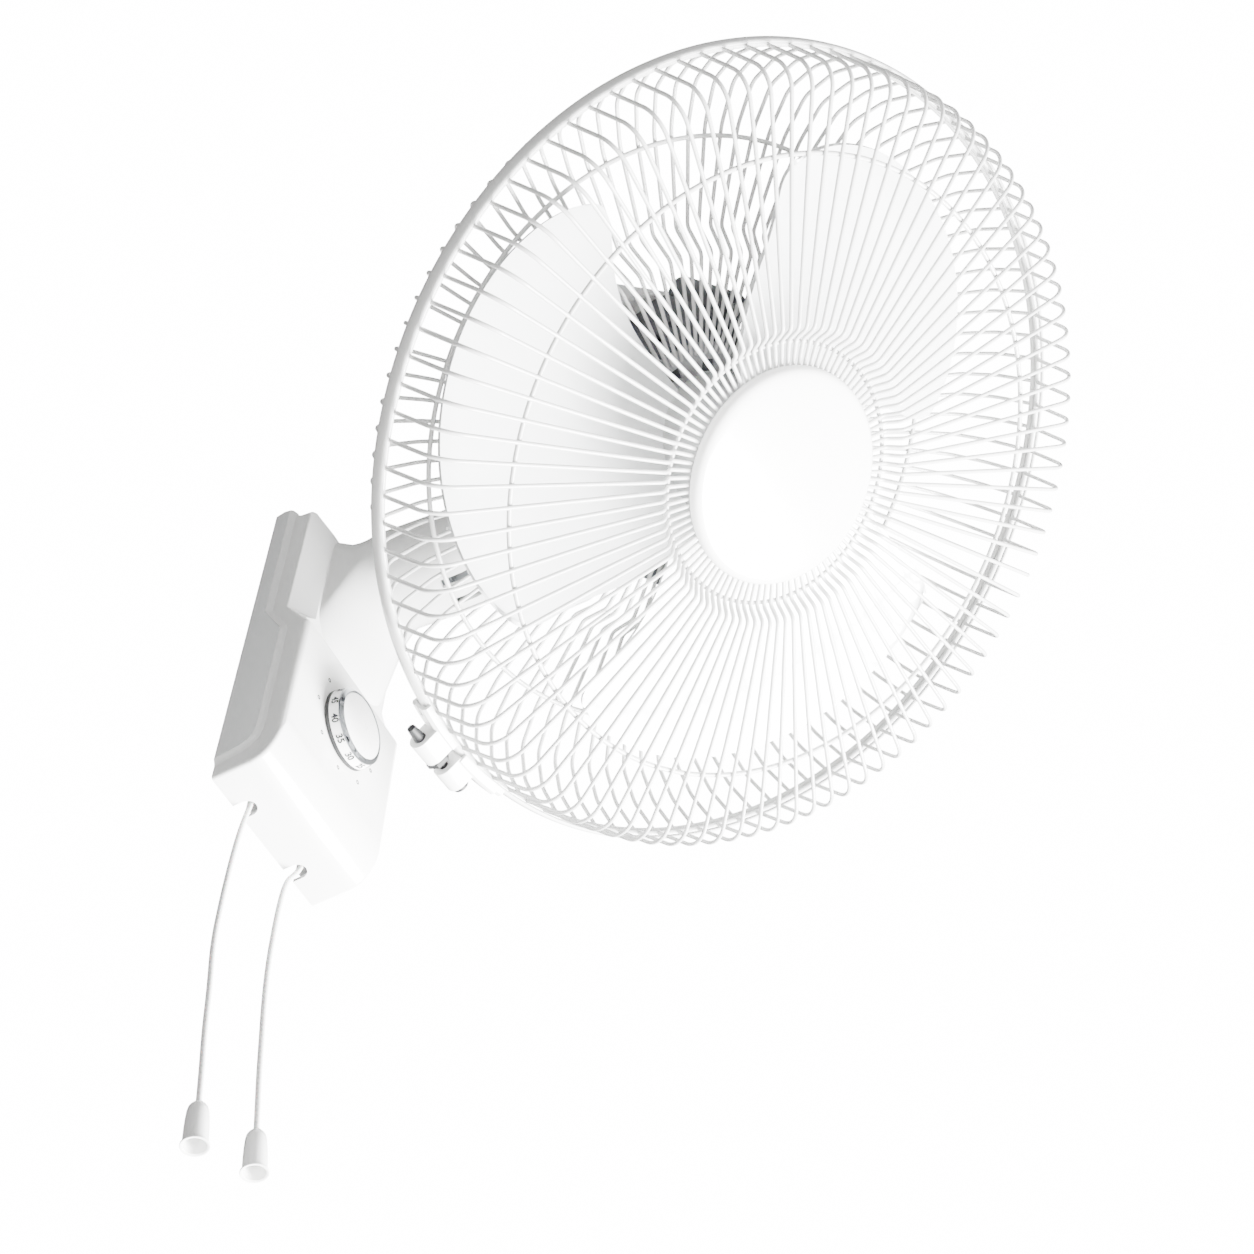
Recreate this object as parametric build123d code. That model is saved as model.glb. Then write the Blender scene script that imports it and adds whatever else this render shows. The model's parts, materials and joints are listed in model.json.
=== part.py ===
from build123d import *
from build123d.topology import SkipClean
from math import cos, hypot, pi, radians, sin, tan
import os

# Wall mounted oscillating fan. Millimetres, +Z up, the wall is the plane y = 0 and the fan is
# on its -Y side. The origin is the middle of the four wall fixing holes.
#
# The box is drawn in its own frame, with z = 0 at its bottom edge, and the head in a frame
# whose X is the part's X, whose Y points up and away from the tilt bolt, and whose Z is the
# direction that the air blows, with z = 0 in the middle plane of the hoop.

# ---- wall box -------------------------------------------------------------------------
BOX_W = 102.0            # width over the front cover
BOX_H = 214.4            # bottom edge to top edge
FRONT_Y = -37.6          # front of the lower part
ROOT_Y = -31.4           # front of the upper part, where the neck grows out
CREASE_X = 35.75         # the upper part is flat this far each side of the middle
FLANK_Y_LOW = -21.2      # front edge of the upper part's slanted flank, at its lower end
FLANK_Y_TOP = -22.6      # and at its upper end
SHOULDER_LOW = 108.0     # where the lower part ends
SHOULDER_TOP = 124.7     # where the upper part's full flank begins
COVER_WALL = 2.0
COVER_SIDE_WALL = 1.6
SHELL_WALL = 2.0
FIT = 0.2                # between the rear shell and the cover that slips over it
LIP_Y_TOP = -9.0         # edge of the cover along the upper part of the side
LIP_Y_LOW = -22.0        # and along the lower part
FLARE = 1.8              # the cover's edge flares out by this to meet the rear shell
FLARE_W = 5.0            # width of the flare
JOGGLE = 2.3             # step behind the cover's edge from the shell's side to its tongue
SLOT_X = 25.0            # cord slots, each side of the middle
SLOT_W = 10.0
SLOT_DEPTH = 10.5
POST_X = 42.4            # cover's screw posts, each side of the middle
POST_LOW = 33.0          # lower posts above the bottom edge
POST_DROP = 18.4         # upper posts below the top edge
PILOT_R = 1.52           # screw holes in plastic posts
SELF_TAPPER_R = 1.5
# the underside and the top edge, as (y, height above the bottom) and (y, depth below the top)
CHIN = [(0, 0.8), (-23.5, 4.9), (-29.5, 8.7), (-33.6, 14.6), (-36.2, 23)]
CROWN = [(-24.5, 5.6), (-15.8, 5.2), (-14, 4.1), (-10.6, 0.5), (-5, 0), (0, 2.2)]

# ---- neck -----------------------------------------------------------------------------
NECK_R = 29.0
NECK_DROP = 25.4         # neck axis below the box's top edge
NECK_ROUND_Y = -55.0     # the neck is a round tube from here
NECK_TAPER_Y = -95.0     # to here
NECK_END_Y = -114.0
NECK_WALL = 2.5
NECK_FLAT = 2.0          # narrowest flat left between the neck's rounded corners
ROOT_H = 87.0
ROOT_DROP = 29.5         # middle of the flared root below the neck axis

# ---- wall plate and bracket -----------------------------------------------------------
PLATE_W = 72.0
PLATE_LOW = 20.0         # lower end of the plate above the box's bottom edge
PLATE_MARGIN = 6.4
PLATE_T = 1.5
FIX_X = 56.0             # wall fixing holes, spacing across and up
FIX_Z = 130.0
FIX_R = 2.75
EAR_IN = 13.0            # inner face of each bracket ear, from the middle
EAR_T = 2.5
EAR_R = 12.0             # rounded end of the ear
FLANGE_W = 44.0
FLANGE_H = 60.0
FLANGE_MARGIN = 2.0      # flange's top below the plate's
FLANGE_T = 1.7
FLANGE_SCREW_X = 7.5
FLANGE_SCREW_IN = 10.0   # flange's screws from its ends
WEB_DROP = 13.0          # underside of the bracket's web below the neck axis
WEB_T = 2.5

# ---- timer knob -----------------------------------------------------------------------
KNOB_H = 70.4            # knob centre above the box's bottom edge
KNOB_R = 22.1
KNOB_FACE_Y = -47.6
KNOB_GAP = 0.3
TIMER_W = 42.0
TIMER_BACK_Y = -14.0
TIMER_SHAFT_R = 3.0

# ---- pull switches, cords and bells ---------------------------------------------------
SWITCH_W = 20.0
SWITCH_LOW = 24.0
SWITCH_TOP = 42.0
SWITCH_DEPTH = 19.0
LEVER_R = 2.2
LEVER_END_H = 18.0       # lower end of the lever, where the cord is held
CORD_D = 2.8
BELL_R = 5.75
BELL_LIP_R = 6.65
BELL_LEN = 23.0
BELL_WALL = 1.2

# ---- head -----------------------------------------------------------------------------
TILT = 50.0              # how far the head looks down at rest
PIVOT_Y = -124.8         # tilt bolt
PIVOT_RISE = 17.9        # tilt bolt above the neck axis
HEAD_UP = 98.0           # fan axis above the tilt bolt
HEAD_FWD = 98.0          # middle plane of the hoop in front of the tilt bolt

HOOP_R = 222.0
HOOP_W = 10.5
HOOP_WALL = 1.5
HOOP_LIP_DEPTH = 2.6
HOOP_LIP = 1.4
RIM_WIRE_R = 1.8         # outer ring of each wire guard
RIM_FIT = 0.1            # between that ring and the hoop
RIM_S = 1.9              # its distance from the hoop's middle plane

WIRES = 98               # spokes of each guard
WIRE_D = 2.2
RING_WIRE_R = 1.3
STEP_WIRE_R = 1.1
FRONT_SHOULDER_IN = 6.8  # inwards from the outer ring
FRONT_SHOULDER_S = 41.0
FRONT_STEP_R = 80.0      # the front spokes step back here
FRONT_STEP_S = 44.5
FRONT_INNER_R = 73.0
FRONT_INNER_S = 37.0
FRONT_END_R = 46.0
FRONT_RING_R = 168.7
STEP_RING_R = 71.5
REAR_SHOULDER_IN = 8.1
REAR_SHOULDER_S = -24.0
REAR_CORNER_IN = 22.6
REAR_CORNER_S = -41.0
REAR_FLAT_IN = 46.6
REAR_FLAT_S = -47.5
REAR_STEP_R = 118.0
REAR_STEP_S = -48.0
REAR_INNER_R = 106.0
REAR_INNER_S = -35.0
REAR_END_R = 50.0
REAR_RING_IN = 6.0       # from the flat's outer end

PLATE_R = 56.0           # steel disc in the middle of the rear guard
DISC_T = 1.8
NOSE_R = 18.0            # threaded nose of the motor that the guard sits on
NOSE_FRONT_S = -28.0
NUT_R = 30.0
NUT_FRONT_S = -29.5

CAP_R = 59.6
CAP_FACE_S = 46.0
CAP_REAR_S = 38.4
CAP_EDGE_R = 4.0
CAP_WALL = 2.2
RETAINER_R = 52.0
RETAINER_T = 2.0
CAP_POST_R = 4.0
CAP_POST_PITCH_R = 30.0
CAP_SCREWS = 4

# ---- motor ----------------------------------------------------------------------------
CASE_FRONT_S = -38.0
CASE_SPLIT_S = -62.0
CASE_REAR_S = -86.0
CASE_W = 118.0
CASE_H = 108.0
CASE_CORNER_R = 18.0
CASE_WALL = 3.0
EAR_PITCH_X = 50.0
EAR_PITCH_U = 55.0
CASE_EAR_R = 10.0
CORE_W = 92.0
CORE_FRONT_S = -49.0
CORE_REAR_S = -75.0
CORE_BORE_R = 27.0
AIR_GAP = 0.6
PAD_PITCH = 39.0         # pads that hold the core's corners
PAD_R = 6.0
BOLT_R = 2.0
BOLT_HEAD_R = 3.9
BOLT_HEAD_T = 1.7
BOLT_TAIL = 5.0          # past the back of the casing
BOLT_NUT_R = 4.0
BOLT_NUT_T = 3.2
NUT_POCKET_R = 5.5
BOSS_R = 4.6
SHAFT_R = 4.0
SHAFT_FRONT_S = 21.0
BUSH_R = 8.0
BUSH_LEN = 10.0
RUN = 0.03               # running clearance of a shaft in its bush, on the radius
SNUG = 0.02              # clearance of pieces that are pressed together

# ---- blades ---------------------------------------------------------------------------
BLADES = 3
BLADE_AT = 180.0         # angle of the first blade's leading root corner
HUB_R = 42.0
HUB_WALL = 2.5
BLADE_REAR_S = -25.0
BLADE_FRONT_S = 15.0
BLADE_T = 2.0
BLADE_CAMBER = 5.0
TIP_BULGE = 24.0
# outline of one blade: (radius, angle past the leading root corner)
LEADING_EDGE = [(40.5, 2.0), (82, 5.6), (116, 2.4), (134, -1.0), (147, -3.2), (161, -1.8)]
TRAILING_EDGE = [(40.5, 103.0), (88, 94.0), (110, 89.0), (135, 85.5), (150, 84.5), (161, 81.0)]

# ---- rear cover, pan bearing and swing drive -------------------------------------------
COVER_R = 74.0
COVER_REAR_R = 67.0
COVER_TAPER_S = -158.0
COVER_REAR_S = -176.0
COVER_T = 2.0
COVER_SLOT_W = 24.0
COVER_SLOT_S = -154.0
PAN_R = 4.5
PAN_SHOULDER_R = 5.3
PAN_BOSS_R = 9.0
PAN_BOSS_LOW = -74.0
SHELF_TOP = -56.0
SHELF_T = 3.0
SHELF_W = 40.0
SHELF_REAR_S = -161.0
SWING_S = -142.0
SWING_X = 8.0            # the crank turns about this line, beside the fan's middle
SWING_SCREW = 15.0       # the swing motor's screws, before and behind its shaft
SWING_R = 21.0
SWING_H = 19.0
CRANK_R = 10.3
CRANK_PIN_R = 2.0
ARM_X = 16.0
ARM_PIN_R = 2.0
LINK_TOP = -76.6
LINK_T = 2.2
CRANK_LOW = LINK_TOP + 0.3
CRANK_T = 2.6
CRANK_SHAFT_R = 3.0
LINK_W = 6.0
LINK_SLOP = 3.3          # the open pivot's clearance, on the radius
PLATFORM_LOW = -85.0
PLATFORM_TOP = -82.0
PLATFORM_R = 21.0
EYE_R = 11.0
TILT_BOLT_R = 4.0
TILT_WASHER_T = 1.0

# ---- hoop clamp ------------------------------------------------------------------------
CLAMP_AT = -85.1         # angle of the gap between the two lugs
LUG_RISE = 9.2           # clamp screw's axis above the hoop
LUG_R = 6.3
LUG_1 = (-19.5, -4.4)    # along the screw, from the gap's middle
LUG_2 = (3.4, 18.0)
SLEEVE_1 = (-94.0, -86.2)
SLEEVE_2 = (-84.0, -76.0)
SLEEVE_T = 3.0
SLEEVE_HALF_W = 7.2
CLAMP_SCREW_R = 2.4
HOOP_GAP = (-83.0, -82.6)

# ---- worked out from the sizes above ----------------------------------------------------
NECK_AXIS_H = BOX_H - NECK_DROP
PIVOT_H = NECK_AXIS_H + PIVOT_RISE
PLATE_TOP = BOX_H - PLATE_MARGIN
PLATE_MID_H = (PLATE_LOW + PLATE_TOP) / 2
FLANGE_TOP = PLATE_TOP - FLANGE_MARGIN
FLANGE_LOW = FLANGE_TOP - FLANGE_H
FLANGE_FACE_Y = -PLATE_T - FLANGE_T
WEB_H = NECK_AXIS_H - WEB_DROP
POST_TOP = BOX_H - POST_DROP
RIM_R = HOOP_R - HOOP_WALL - RIM_WIRE_R - RIM_FIT
HOOP_LIP_R = HOOP_R - HOOP_LIP_DEPTH
FRONT_SHOULDER_R = RIM_R - FRONT_SHOULDER_IN
REAR_SHOULDER_R = RIM_R - REAR_SHOULDER_IN
REAR_CORNER_R = RIM_R - REAR_CORNER_IN
REAR_FLAT_R = RIM_R - REAR_FLAT_IN
REAR_RING_R = REAR_FLAT_R - REAR_RING_IN
LUG_AXIS_R = HOOP_R + LUG_RISE
SLEEVE_R = HOOP_R + SLEEVE_T
HALF_W = BOX_W / 2
EAR_OUT = EAR_IN + EAR_T
T_AT = -HEAD_FWD         # the tilt bolt in the head's frame, along the air
U_AT = -HEAD_UP          # and up from the fan axis
AIR = Vector(0, -cos(radians(TILT)), -sin(radians(TILT)))
UP = Vector(0, -sin(radians(TILT)), cos(radians(TILT)))
PIVOT = Vector(0, PIVOT_Y, PIVOT_H)
HEAD = Plane(origin=PIVOT + UP * HEAD_UP + AIR * HEAD_FWD, x_dir=(1, 0, 0), z_dir=AIR).location
DROP = Pos(0, 0, -PLATE_MID_H)


def save(name, shape):
    """Write one node, moved so that the wall fixing's middle is the origin."""
    export_step(DROP * shape, f"parts/{name}.step")


# ---- small helpers ------------------------------------------------------------------------
def block(x0, x1, y0, y1, z0, z1):
    """A box from its corners."""
    return Pos((x0 + x1) / 2, (y0 + y1) / 2, (z0 + z1) / 2) * Box(x1 - x0, y1 - y0, z1 - z0)


def side_prism(points, half_width):
    """A prism across X from an outline of (y, z) points."""
    outline = make_face(Polyline(*[(0, y, z) for y, z in points], close=True))
    return extrude(outline, half_width, dir=(1, 0, 0), both=True)


def rod(start, end, radius):
    """A round bar between two points."""
    axis = Vector(*end) - Vector(*start)
    return extrude(Plane(origin=start, z_dir=axis.normalized()) * Circle(radius), axis.length)


def tube(start, end, outer, inner):
    """A round tube between two points."""
    axis = Vector(*end) - Vector(*start)
    ring = Circle(outer) - Circle(inner)
    return extrude(Plane(origin=start, z_dir=axis.normalized()) * ring, axis.length)


def lathe(points):
    """A solid turned about the head's Z axis from an outline of (r, z) points."""
    return revolve(make_face(Polyline(*[(r, 0, z) for r, z in points], close=True)), Axis.Z)


def slab(sketch, z0, z1):
    """A sketch in the head's XY plane, extruded between two heights."""
    return extrude(Pos(0, 0, z0) * sketch, z1 - z0)


def ring_slab(outer, inner, z0, z1):
    """A flat ring about the head's Z axis."""
    return slab(Circle(outer) - Circle(inner), z0, z1)


def at_angle(radius, angle):
    """A point of the head's XY plane."""
    return radius * cos(radians(angle)), radius * sin(radians(angle))


# ---- wall box ------------------------------------------------------------------------------
def drawn_in(points, wall):
    """A side outline (y, z) that runs up the room side, moved toward its inside by a wall."""
    moved = []
    for k, (y, z) in enumerate(points):
        before = points[max(k - 1, 0)]
        after = points[min(k + 1, len(points) - 1)]
        dy = after[0] - before[0]
        dz = after[1] - before[1]
        share = wall / hypot(dy, dz)
        moved.append((y + dz * share, z - dy * share))
    return moved


def box_profile(inset):
    """Side outline of the box (y, z), drawn in by the wall for its inside."""
    front = [(FRONT_Y, POST_LOW), (FRONT_Y, SHOULDER_LOW), (ROOT_Y, SHOULDER_LOW + 9),
             (ROOT_Y, POST_TOP + 2)]
    crown = [(y, BOX_H - down) for y, down in CROWN]
    return drawn_in(CHIN + front + crown, inset)


def flank(inset):
    """What the slanted flanks leave of the box, as one solid that the profile is cut by."""
    side = HALF_W - (COVER_SIDE_WALL if inset else 0)
    crease = CREASE_X - 0.4 * inset
    deep = FRONT_Y + inset - 1
    clear = ROOT_Y + inset - 0.5

    def section(height, edge_y, crease_y):
        half = [(-side, 2), (-side, edge_y), (-crease, crease_y)]
        return Polyline(*[(x, y, height) for x, y in half],
                        *[(-x, y, height) for x, y in reversed(half)], close=True)

    lower = section(SHOULDER_LOW - 0.2, FRONT_Y + 3 + inset, deep)
    middle = section(SHOULDER_TOP, FLANK_Y_LOW + inset, clear)
    upper = section(BOX_H + 2, FLANK_Y_TOP + inset, clear)
    low_part = loft([make_face(lower), make_face(middle)], ruled=True)
    top_part = loft([make_face(middle), make_face(upper)], ruled=True)
    base = block(-side, side, deep, 2, -2, SHOULDER_LOW - 0.2)
    return base + low_part + top_part


def box_solid(inset):
    """The box's outside, or its inside where inset is the wall."""
    side = HALF_W - (COVER_SIDE_WALL if inset else 0)
    return side_prism(box_profile(inset), side) & flank(inset)


def neck_sections(inset):
    """Sections along the neck: (y, width, height, middle above the box's bottom, corner)."""
    i = 2 * inset
    across = 2 * NECK_R - i
    end_y = NECK_END_Y - (0.5 if inset else 0)
    return [(ROOT_Y + 2.5, 2 * CREASE_X - i, ROOT_H - i, NECK_AXIS_H - ROOT_DROP, 14),
            (-38, across + 8, across + 18, NECK_AXIS_H - 21, 24),
            (-46, across + 2.5, across + 7, NECK_AXIS_H - 8, 29),
            (NECK_ROUND_Y, across, across + 0.6, NECK_AXIS_H - 0.5, NECK_R),
            ((NECK_ROUND_Y + NECK_TAPER_Y) / 2, across, across, NECK_AXIS_H, NECK_R),
            (NECK_TAPER_Y, across, across, NECK_AXIS_H, NECK_R),
            (-106, across - 2.4, across - 2.4, NECK_AXIS_H + 0.4, NECK_R),
            (end_y, across - 8, across - 8, NECK_AXIS_H + 1.5, NECK_R)]


def neck_slice(y, width, height, middle, corner):
    """One rounded cross-section of the neck."""
    plane = Plane(origin=(0, y, middle), x_dir=(1, 0, 0), z_dir=(0, -1, 0))
    roundest = min(width, height) / 2 - NECK_FLAT / 2
    return plane * RectangleRounded(width, height, min(corner, roundest))


def neck_solid(inset):
    """The neck, from its flared root to its open end."""
    return loft([neck_slice(*section) for section in neck_sections(inset)])


def lip_line():
    """Everything between the wall and the edge of the front cover, as a side outline."""
    return [(2, 12.6), (-13.6, 17.9), (-20, 22), (LIP_Y_LOW, 28), (LIP_Y_LOW, 105),
            (LIP_Y_TOP, 124), (LIP_Y_TOP, BOX_H + 3), (2, BOX_H + 3)]


def cover_flare():
    """The edge of the cover, flared out on both sides to meet the rear shell."""
    sunk = 0.5
    foot = drawn_in(lip_line(), -FLARE_W * (FLARE + sunk) / FLARE)
    flares = []
    for side in (-1, 1):
        near = Polyline(*[(side * (HALF_W - sunk), y, z) for y, z in foot], close=True)
        far = Polyline(*[(side * (HALF_W + FLARE), y, z) for y, z in lip_line()], close=True)
        flares.append(loft([make_face(near), make_face(far)], ruled=True))
    return (flares[0] + flares[1]) & side_prism(box_profile(0), HALF_W + FLARE)


def cord_slot(x):
    """A round-ended slot in the bottom, open to the wall."""
    width = SLOT_W
    slot = block(x - width / 2, x + width / 2, -SLOT_DEPTH + width / 2, 3, -4, 14)
    return slot + rod((x, -SLOT_DEPTH + width / 2, -4), (x, -SLOT_DEPTH + width / 2, 14),
                      width / 2)


def cover_posts():
    """Places of the four screw posts: (x, height above the bottom edge)."""
    return [(s * POST_X, h) for s in (-1, 1) for h in (POST_LOW, POST_TOP)]


def front_cover():
    shell = box_solid(0) + neck_solid(0) + cover_flare()
    shell -= side_prism(lip_line(), HALF_W + FLARE + 1)
    shell -= box_solid(COVER_WALL)
    shell -= neck_solid(NECK_WALL)
    for x, h in cover_posts():
        shell += rod((x, FRONT_Y, h), (x, -4.1, h), CAP_POST_R) & box_solid(COVER_WALL / 2)
        shell -= rod((x, -16, h), (x, -4, h), PILOT_R)
    for x in (-SLOT_X, SLOT_X):
        shell -= cord_slot(x)
    shell -= rod((0, FRONT_Y - 1, KNOB_H), (0, FRONT_Y + 4, KNOB_H), TIMER_SHAFT_R + 1)
    # the end of the neck is notched at the top for the bracket's ears
    shell -= block(-EAR_OUT - 1.5, EAR_OUT + 1.5, NECK_END_Y - 6, -98, NECK_AXIS_H + 4,
                   BOX_H + 14)
    for x in (-7, 7):
        shell -= block(x - 2.5, x + 2.5, -105, -88, NECK_AXIS_H - NECK_R - 2, NECK_AXIS_H - 19)
    for x in (-1, 1):
        shell -= block(x * 27 - 4, x * 27 + 4, -103.5, -99.5, NECK_AXIS_H - 11, NECK_AXIS_H - 7)
    return shell.solids().sort_by(SortBy.VOLUME)[-1]


def rear_shell():
    w = HALF_W - COVER_SIDE_WALL - FIT
    rim_w = HALF_W + FLARE
    top = BOX_H - CROWN[1][1] - COVER_WALL - 2 * FIT
    low = SHOULDER_LOW - 6
    # a tongue goes inside the cover, and the side behind its edge is flush with the flare
    tongue = [(0, 9), (-19, 18), (-27, 29), (-27, low), (-12, low + 19), (-12, top), (0, top)]
    inner = [(-4, 13), (-18, 20), (-30, 31), (-30, low + 2), (-14, low + 21),
             (-14, top - SHELL_WALL), (-4, top - SHELL_WALL)]
    rim = side_prism(drawn_in(lip_line(), FIT), rim_w) & side_prism(box_profile(0), rim_w)
    behind = side_prism(drawn_in(lip_line(), FIT + JOGGLE), rim_w - SHELL_WALL)
    behind &= block(-HALF_W, HALF_W, FRONT_Y, -4, 0, BOX_H - SHELL_WALL)
    shell = side_prism(tongue, w) + rim - behind - side_prism(inner, w - SHELL_WALL)
    shell -= block(-PLATE_W / 2 - 0.5, PLATE_W / 2 + 0.5, -5, 1, PLATE_LOW - 3, PLATE_TOP + 1)
    # the flange carries the cover's screws, whose heads are sunk in its back
    for x, h in cover_posts():
        shell -= rod((x, -5, h), (x, 1, h), 1.7)
        shell -= rod((x, -2, h), (x, 1, h), 3.6)
    for x in (-SLOT_X, SLOT_X):
        shell -= block(x - SLOT_W / 2, x + SLOT_W / 2, -SLOT_DEPTH, 1, 5, PLATE_LOW)
    return shell


def cover_screws():
    screws = []
    for x, h in cover_posts():
        shank = rod((x, -14, h), (x, -2, h), SELF_TAPPER_R)
        screws.append(shank + rod((x, -2, h), (x, -0.4, h), 3.2))
    return Compound(children=screws)


def wall_plate():
    plate = block(-PLATE_W / 2, PLATE_W / 2, -PLATE_T, 0, PLATE_LOW, PLATE_TOP)
    for x in (-FIX_X / 2, FIX_X / 2):
        for z in (-FIX_Z / 2, FIX_Z / 2):
            plate -= rod((x, -PLATE_T - 1, PLATE_MID_H + z), (x, 1, PLATE_MID_H + z), FIX_R)
    for x, h in bracket_screw_places():
        plate -= rod((x, -PLATE_T - 1, h), (x, 1, h), 2.05)
    return plate


def bracket_screw_places():
    return [(x, h) for x in (-FLANGE_SCREW_X, FLANGE_SCREW_X)
            for h in (FLANGE_LOW + FLANGE_SCREW_IN, FLANGE_TOP - FLANGE_SCREW_IN)]


def ear_outline():
    """Side outline of one ear, as a sketch in the (y, z) plane."""
    root = FLANGE_FACE_Y + 0.2
    over = NECK_AXIS_H + 6
    tip = PIVOT_Y + 3.5
    half = EAR_R - 0.6
    corners = [(root, FLANGE_LOW + 4), (root, over), (-40, over), (-58, over + 10),
               (-92, over + 10), (tip, PIVOT_H + half), (tip, PIVOT_H - half), (-90, WEB_H),
               (-40, WEB_H - 6), (-22, FLANGE_LOW + 6)]
    return make_face(Polyline(*[(0, y, z) for y, z in corners], close=True))


def neck_bracket():
    face = FLANGE_FACE_Y
    body = block(-FLANGE_W / 2, FLANGE_W / 2, face, -PLATE_T, FLANGE_LOW, FLANGE_TOP)
    body += block(-EAR_IN - 0.1, EAR_IN + 0.1, -88, face + 0.2, WEB_H, WEB_H + WEB_T)
    for side in (-1, 1):
        start = side * EAR_IN
        ear = extrude(ear_outline(), EAR_T, dir=(side, 0, 0))
        body += Pos(start, 0, 0) * ear
        body += rod((start, PIVOT_Y, PIVOT_H), (side * EAR_OUT, PIVOT_Y, PIVOT_H), EAR_R)
    body -= rod((-30, PIVOT_Y, PIVOT_H), (30, PIVOT_Y, PIVOT_H), TILT_BOLT_R + SNUG)
    for x, h in bracket_screw_places():
        body -= rod((x, -5, h), (x, 1, h), 2.05)
    return body


def bracket_screws():
    screws = []
    for x, h in bracket_screw_places():
        shank = rod((x, FLANGE_FACE_Y, h), (x, -0.1, h), 2.0)
        screws.append(shank + rod((x, FLANGE_FACE_Y - 2, h), (x, FLANGE_FACE_Y, h), 3.8))
    return Compound(children=screws)


def tilt_bolt():
    x = EAR_OUT + TILT_WASHER_T
    hexagon = Plane(origin=(-x, PIVOT_Y, PIVOT_H), z_dir=(-1, 0, 0)) * RegularPolygon(7, 6)
    return rod((-x, PIVOT_Y, PIVOT_H), (x + 8, PIVOT_Y, PIVOT_H), TILT_BOLT_R) + extrude(hexagon, 5)


def tilt_nut():
    x = EAR_OUT + TILT_WASHER_T
    hexagon = RegularPolygon(7, 6) - Circle(TILT_BOLT_R + SNUG)
    return extrude(Plane(origin=(x, PIVOT_Y, PIVOT_H), z_dir=(1, 0, 0)) * hexagon, 6.5)


def tilt_washers():
    return Compound(children=[
        tube((s * EAR_OUT, PIVOT_Y, PIVOT_H), (s * (EAR_OUT + TILT_WASHER_T), PIVOT_Y, PIVOT_H),
             8.0, TILT_BOLT_R + SNUG) for s in (-1, 1)])


def timer_body():
    front = FRONT_Y + COVER_WALL
    w = TIMER_W / 2
    body = block(-w, w, front, TIMER_BACK_Y, KNOB_H - w, KNOB_H + w)
    body -= rod((0, front - 1, KNOB_H), (0, TIMER_BACK_Y - 6, KNOB_H), TIMER_SHAFT_R + RUN)
    return body


def timer_shaft():
    return rod((0, TIMER_BACK_Y - 6, KNOB_H), (0, KNOB_FACE_Y + 3, KNOB_H), TIMER_SHAFT_R)


def timer_knob():
    back = FRONT_Y - KNOB_GAP
    body = rod((0, back, KNOB_H), (0, back - 3, KNOB_H), KNOB_R)
    skirt = Plane(origin=(0, back - 3, KNOB_H), x_dir=(1, 0, 0), z_dir=(0, -1, 0))
    height = back - 3 - KNOB_FACE_Y
    body += extrude(skirt * Circle(KNOB_R), height, taper=10)
    body -= rod((0, back + 1, KNOB_H), (0, KNOB_FACE_Y + 3, KNOB_H), TIMER_SHAFT_R + SNUG)
    groove = tube((0, KNOB_FACE_Y + 1.2, KNOB_H), (0, KNOB_FACE_Y - 1, KNOB_H), 18.8, 17.6)
    return body - groove


def knob_ring():
    return tube((0, KNOB_FACE_Y + 1.2, KNOB_H), (0, KNOB_FACE_Y - 0.3, KNOB_H),
                18.8 - SNUG, 17.6 + SNUG)


def pull_switch(x):
    back = -PLATE_T
    w = SWITCH_W / 2
    body = block(x - w, x + w, back - SWITCH_DEPTH, back, SWITCH_LOW, SWITCH_TOP)
    y = CORD_START_Y[x > 0]
    body -= rod((x, y, SWITCH_LOW - 1), (x, y, SWITCH_TOP - 2), LEVER_R + 0.05)
    return body


def pull_lever(x):
    """The rod that the cord pulls out of the switch."""
    y = CORD_START_Y[x > 0]
    return rod((x, y, LEVER_END_H), (x, y, SWITCH_TOP - 3), LEVER_R)


# Points that each cord follows, (x, y, height above the box's bottom edge).
CORD_START_Y = (-7.4, -7.8)
SPEED_CORD = [(-25, -7.4, 18), (-25, -7.4, 9), (-25.0, -5.8, -1), (-24.9, -3.7, -15),
              (-24.8, -2.8, -37), (-25.0, -3.0, -62), (-25.2, -4.0, -88), (-25.0, -8.0, -116),
              (-25.0, -11.0, -143), (-25.1, -14.6, -166), (-25.2, -17.3, -185.7)]
SWING_CORD = [(25, -7.8, 18), (25, -7.8, 11), (24.6, -7.5, 4), (23.3, -5.4, -2),
              (20.9, -3.3, -7), (19.8, -2.6, -18), (19.4, -2.7, -38), (19.7, -3.3, -64),
              (20.0, -5.3, -88), (19.8, -8.6, -112), (19.7, -11.6, -135), (19.8, -14.6, -155),
              (19.9, -16.6, -169)]


def cord_tube(name, points):
    """A round cord along straight runs joined by arcs as large as the runs allow."""
    stops = [Vector(*p) for p in points]
    runs = [b - a for a, b in zip(stops, stops[1:])]
    radii = []
    for before, after in zip(runs, runs[1:]):
        half_turn = radians(before.get_angle(after)) / 2
        radii.append(0.45 * min(before.length, after.length) / tan(half_turn))
    path = FilletPolyline(*stops, radius=radii)
    section = Plane(origin=path @ 0, z_dir=path % 0) * Circle(CORD_D / 2)
    solid = sweep(section, path=path)
    expected = pi * CORD_D ** 2 / 4 * path.length
    print(name, "length", round(path.length, 1), "least radius", round(min(radii), 1),
          "volume over section times length", round(solid.volume / expected, 4))
    return solid


def bell(points):
    """The pull at the end of a cord, in line with the cord's last run."""
    top = Vector(*points[-1])
    down = (top - Vector(*points[-2])).normalized()
    inner = BELL_R - BELL_WALL
    outline = [(0, 0), (3.4, 0), (BELL_R - 0.6, 2.0), (BELL_R, 4.5), (BELL_R, BELL_LEN - 2.6),
               (BELL_LIP_R, BELL_LEN - 2.2), (BELL_LIP_R, BELL_LEN), (inner, BELL_LEN),
               (inner, 7), (0, 7)]
    return Plane(origin=top, z_dir=down).location * lathe(outline)


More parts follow.
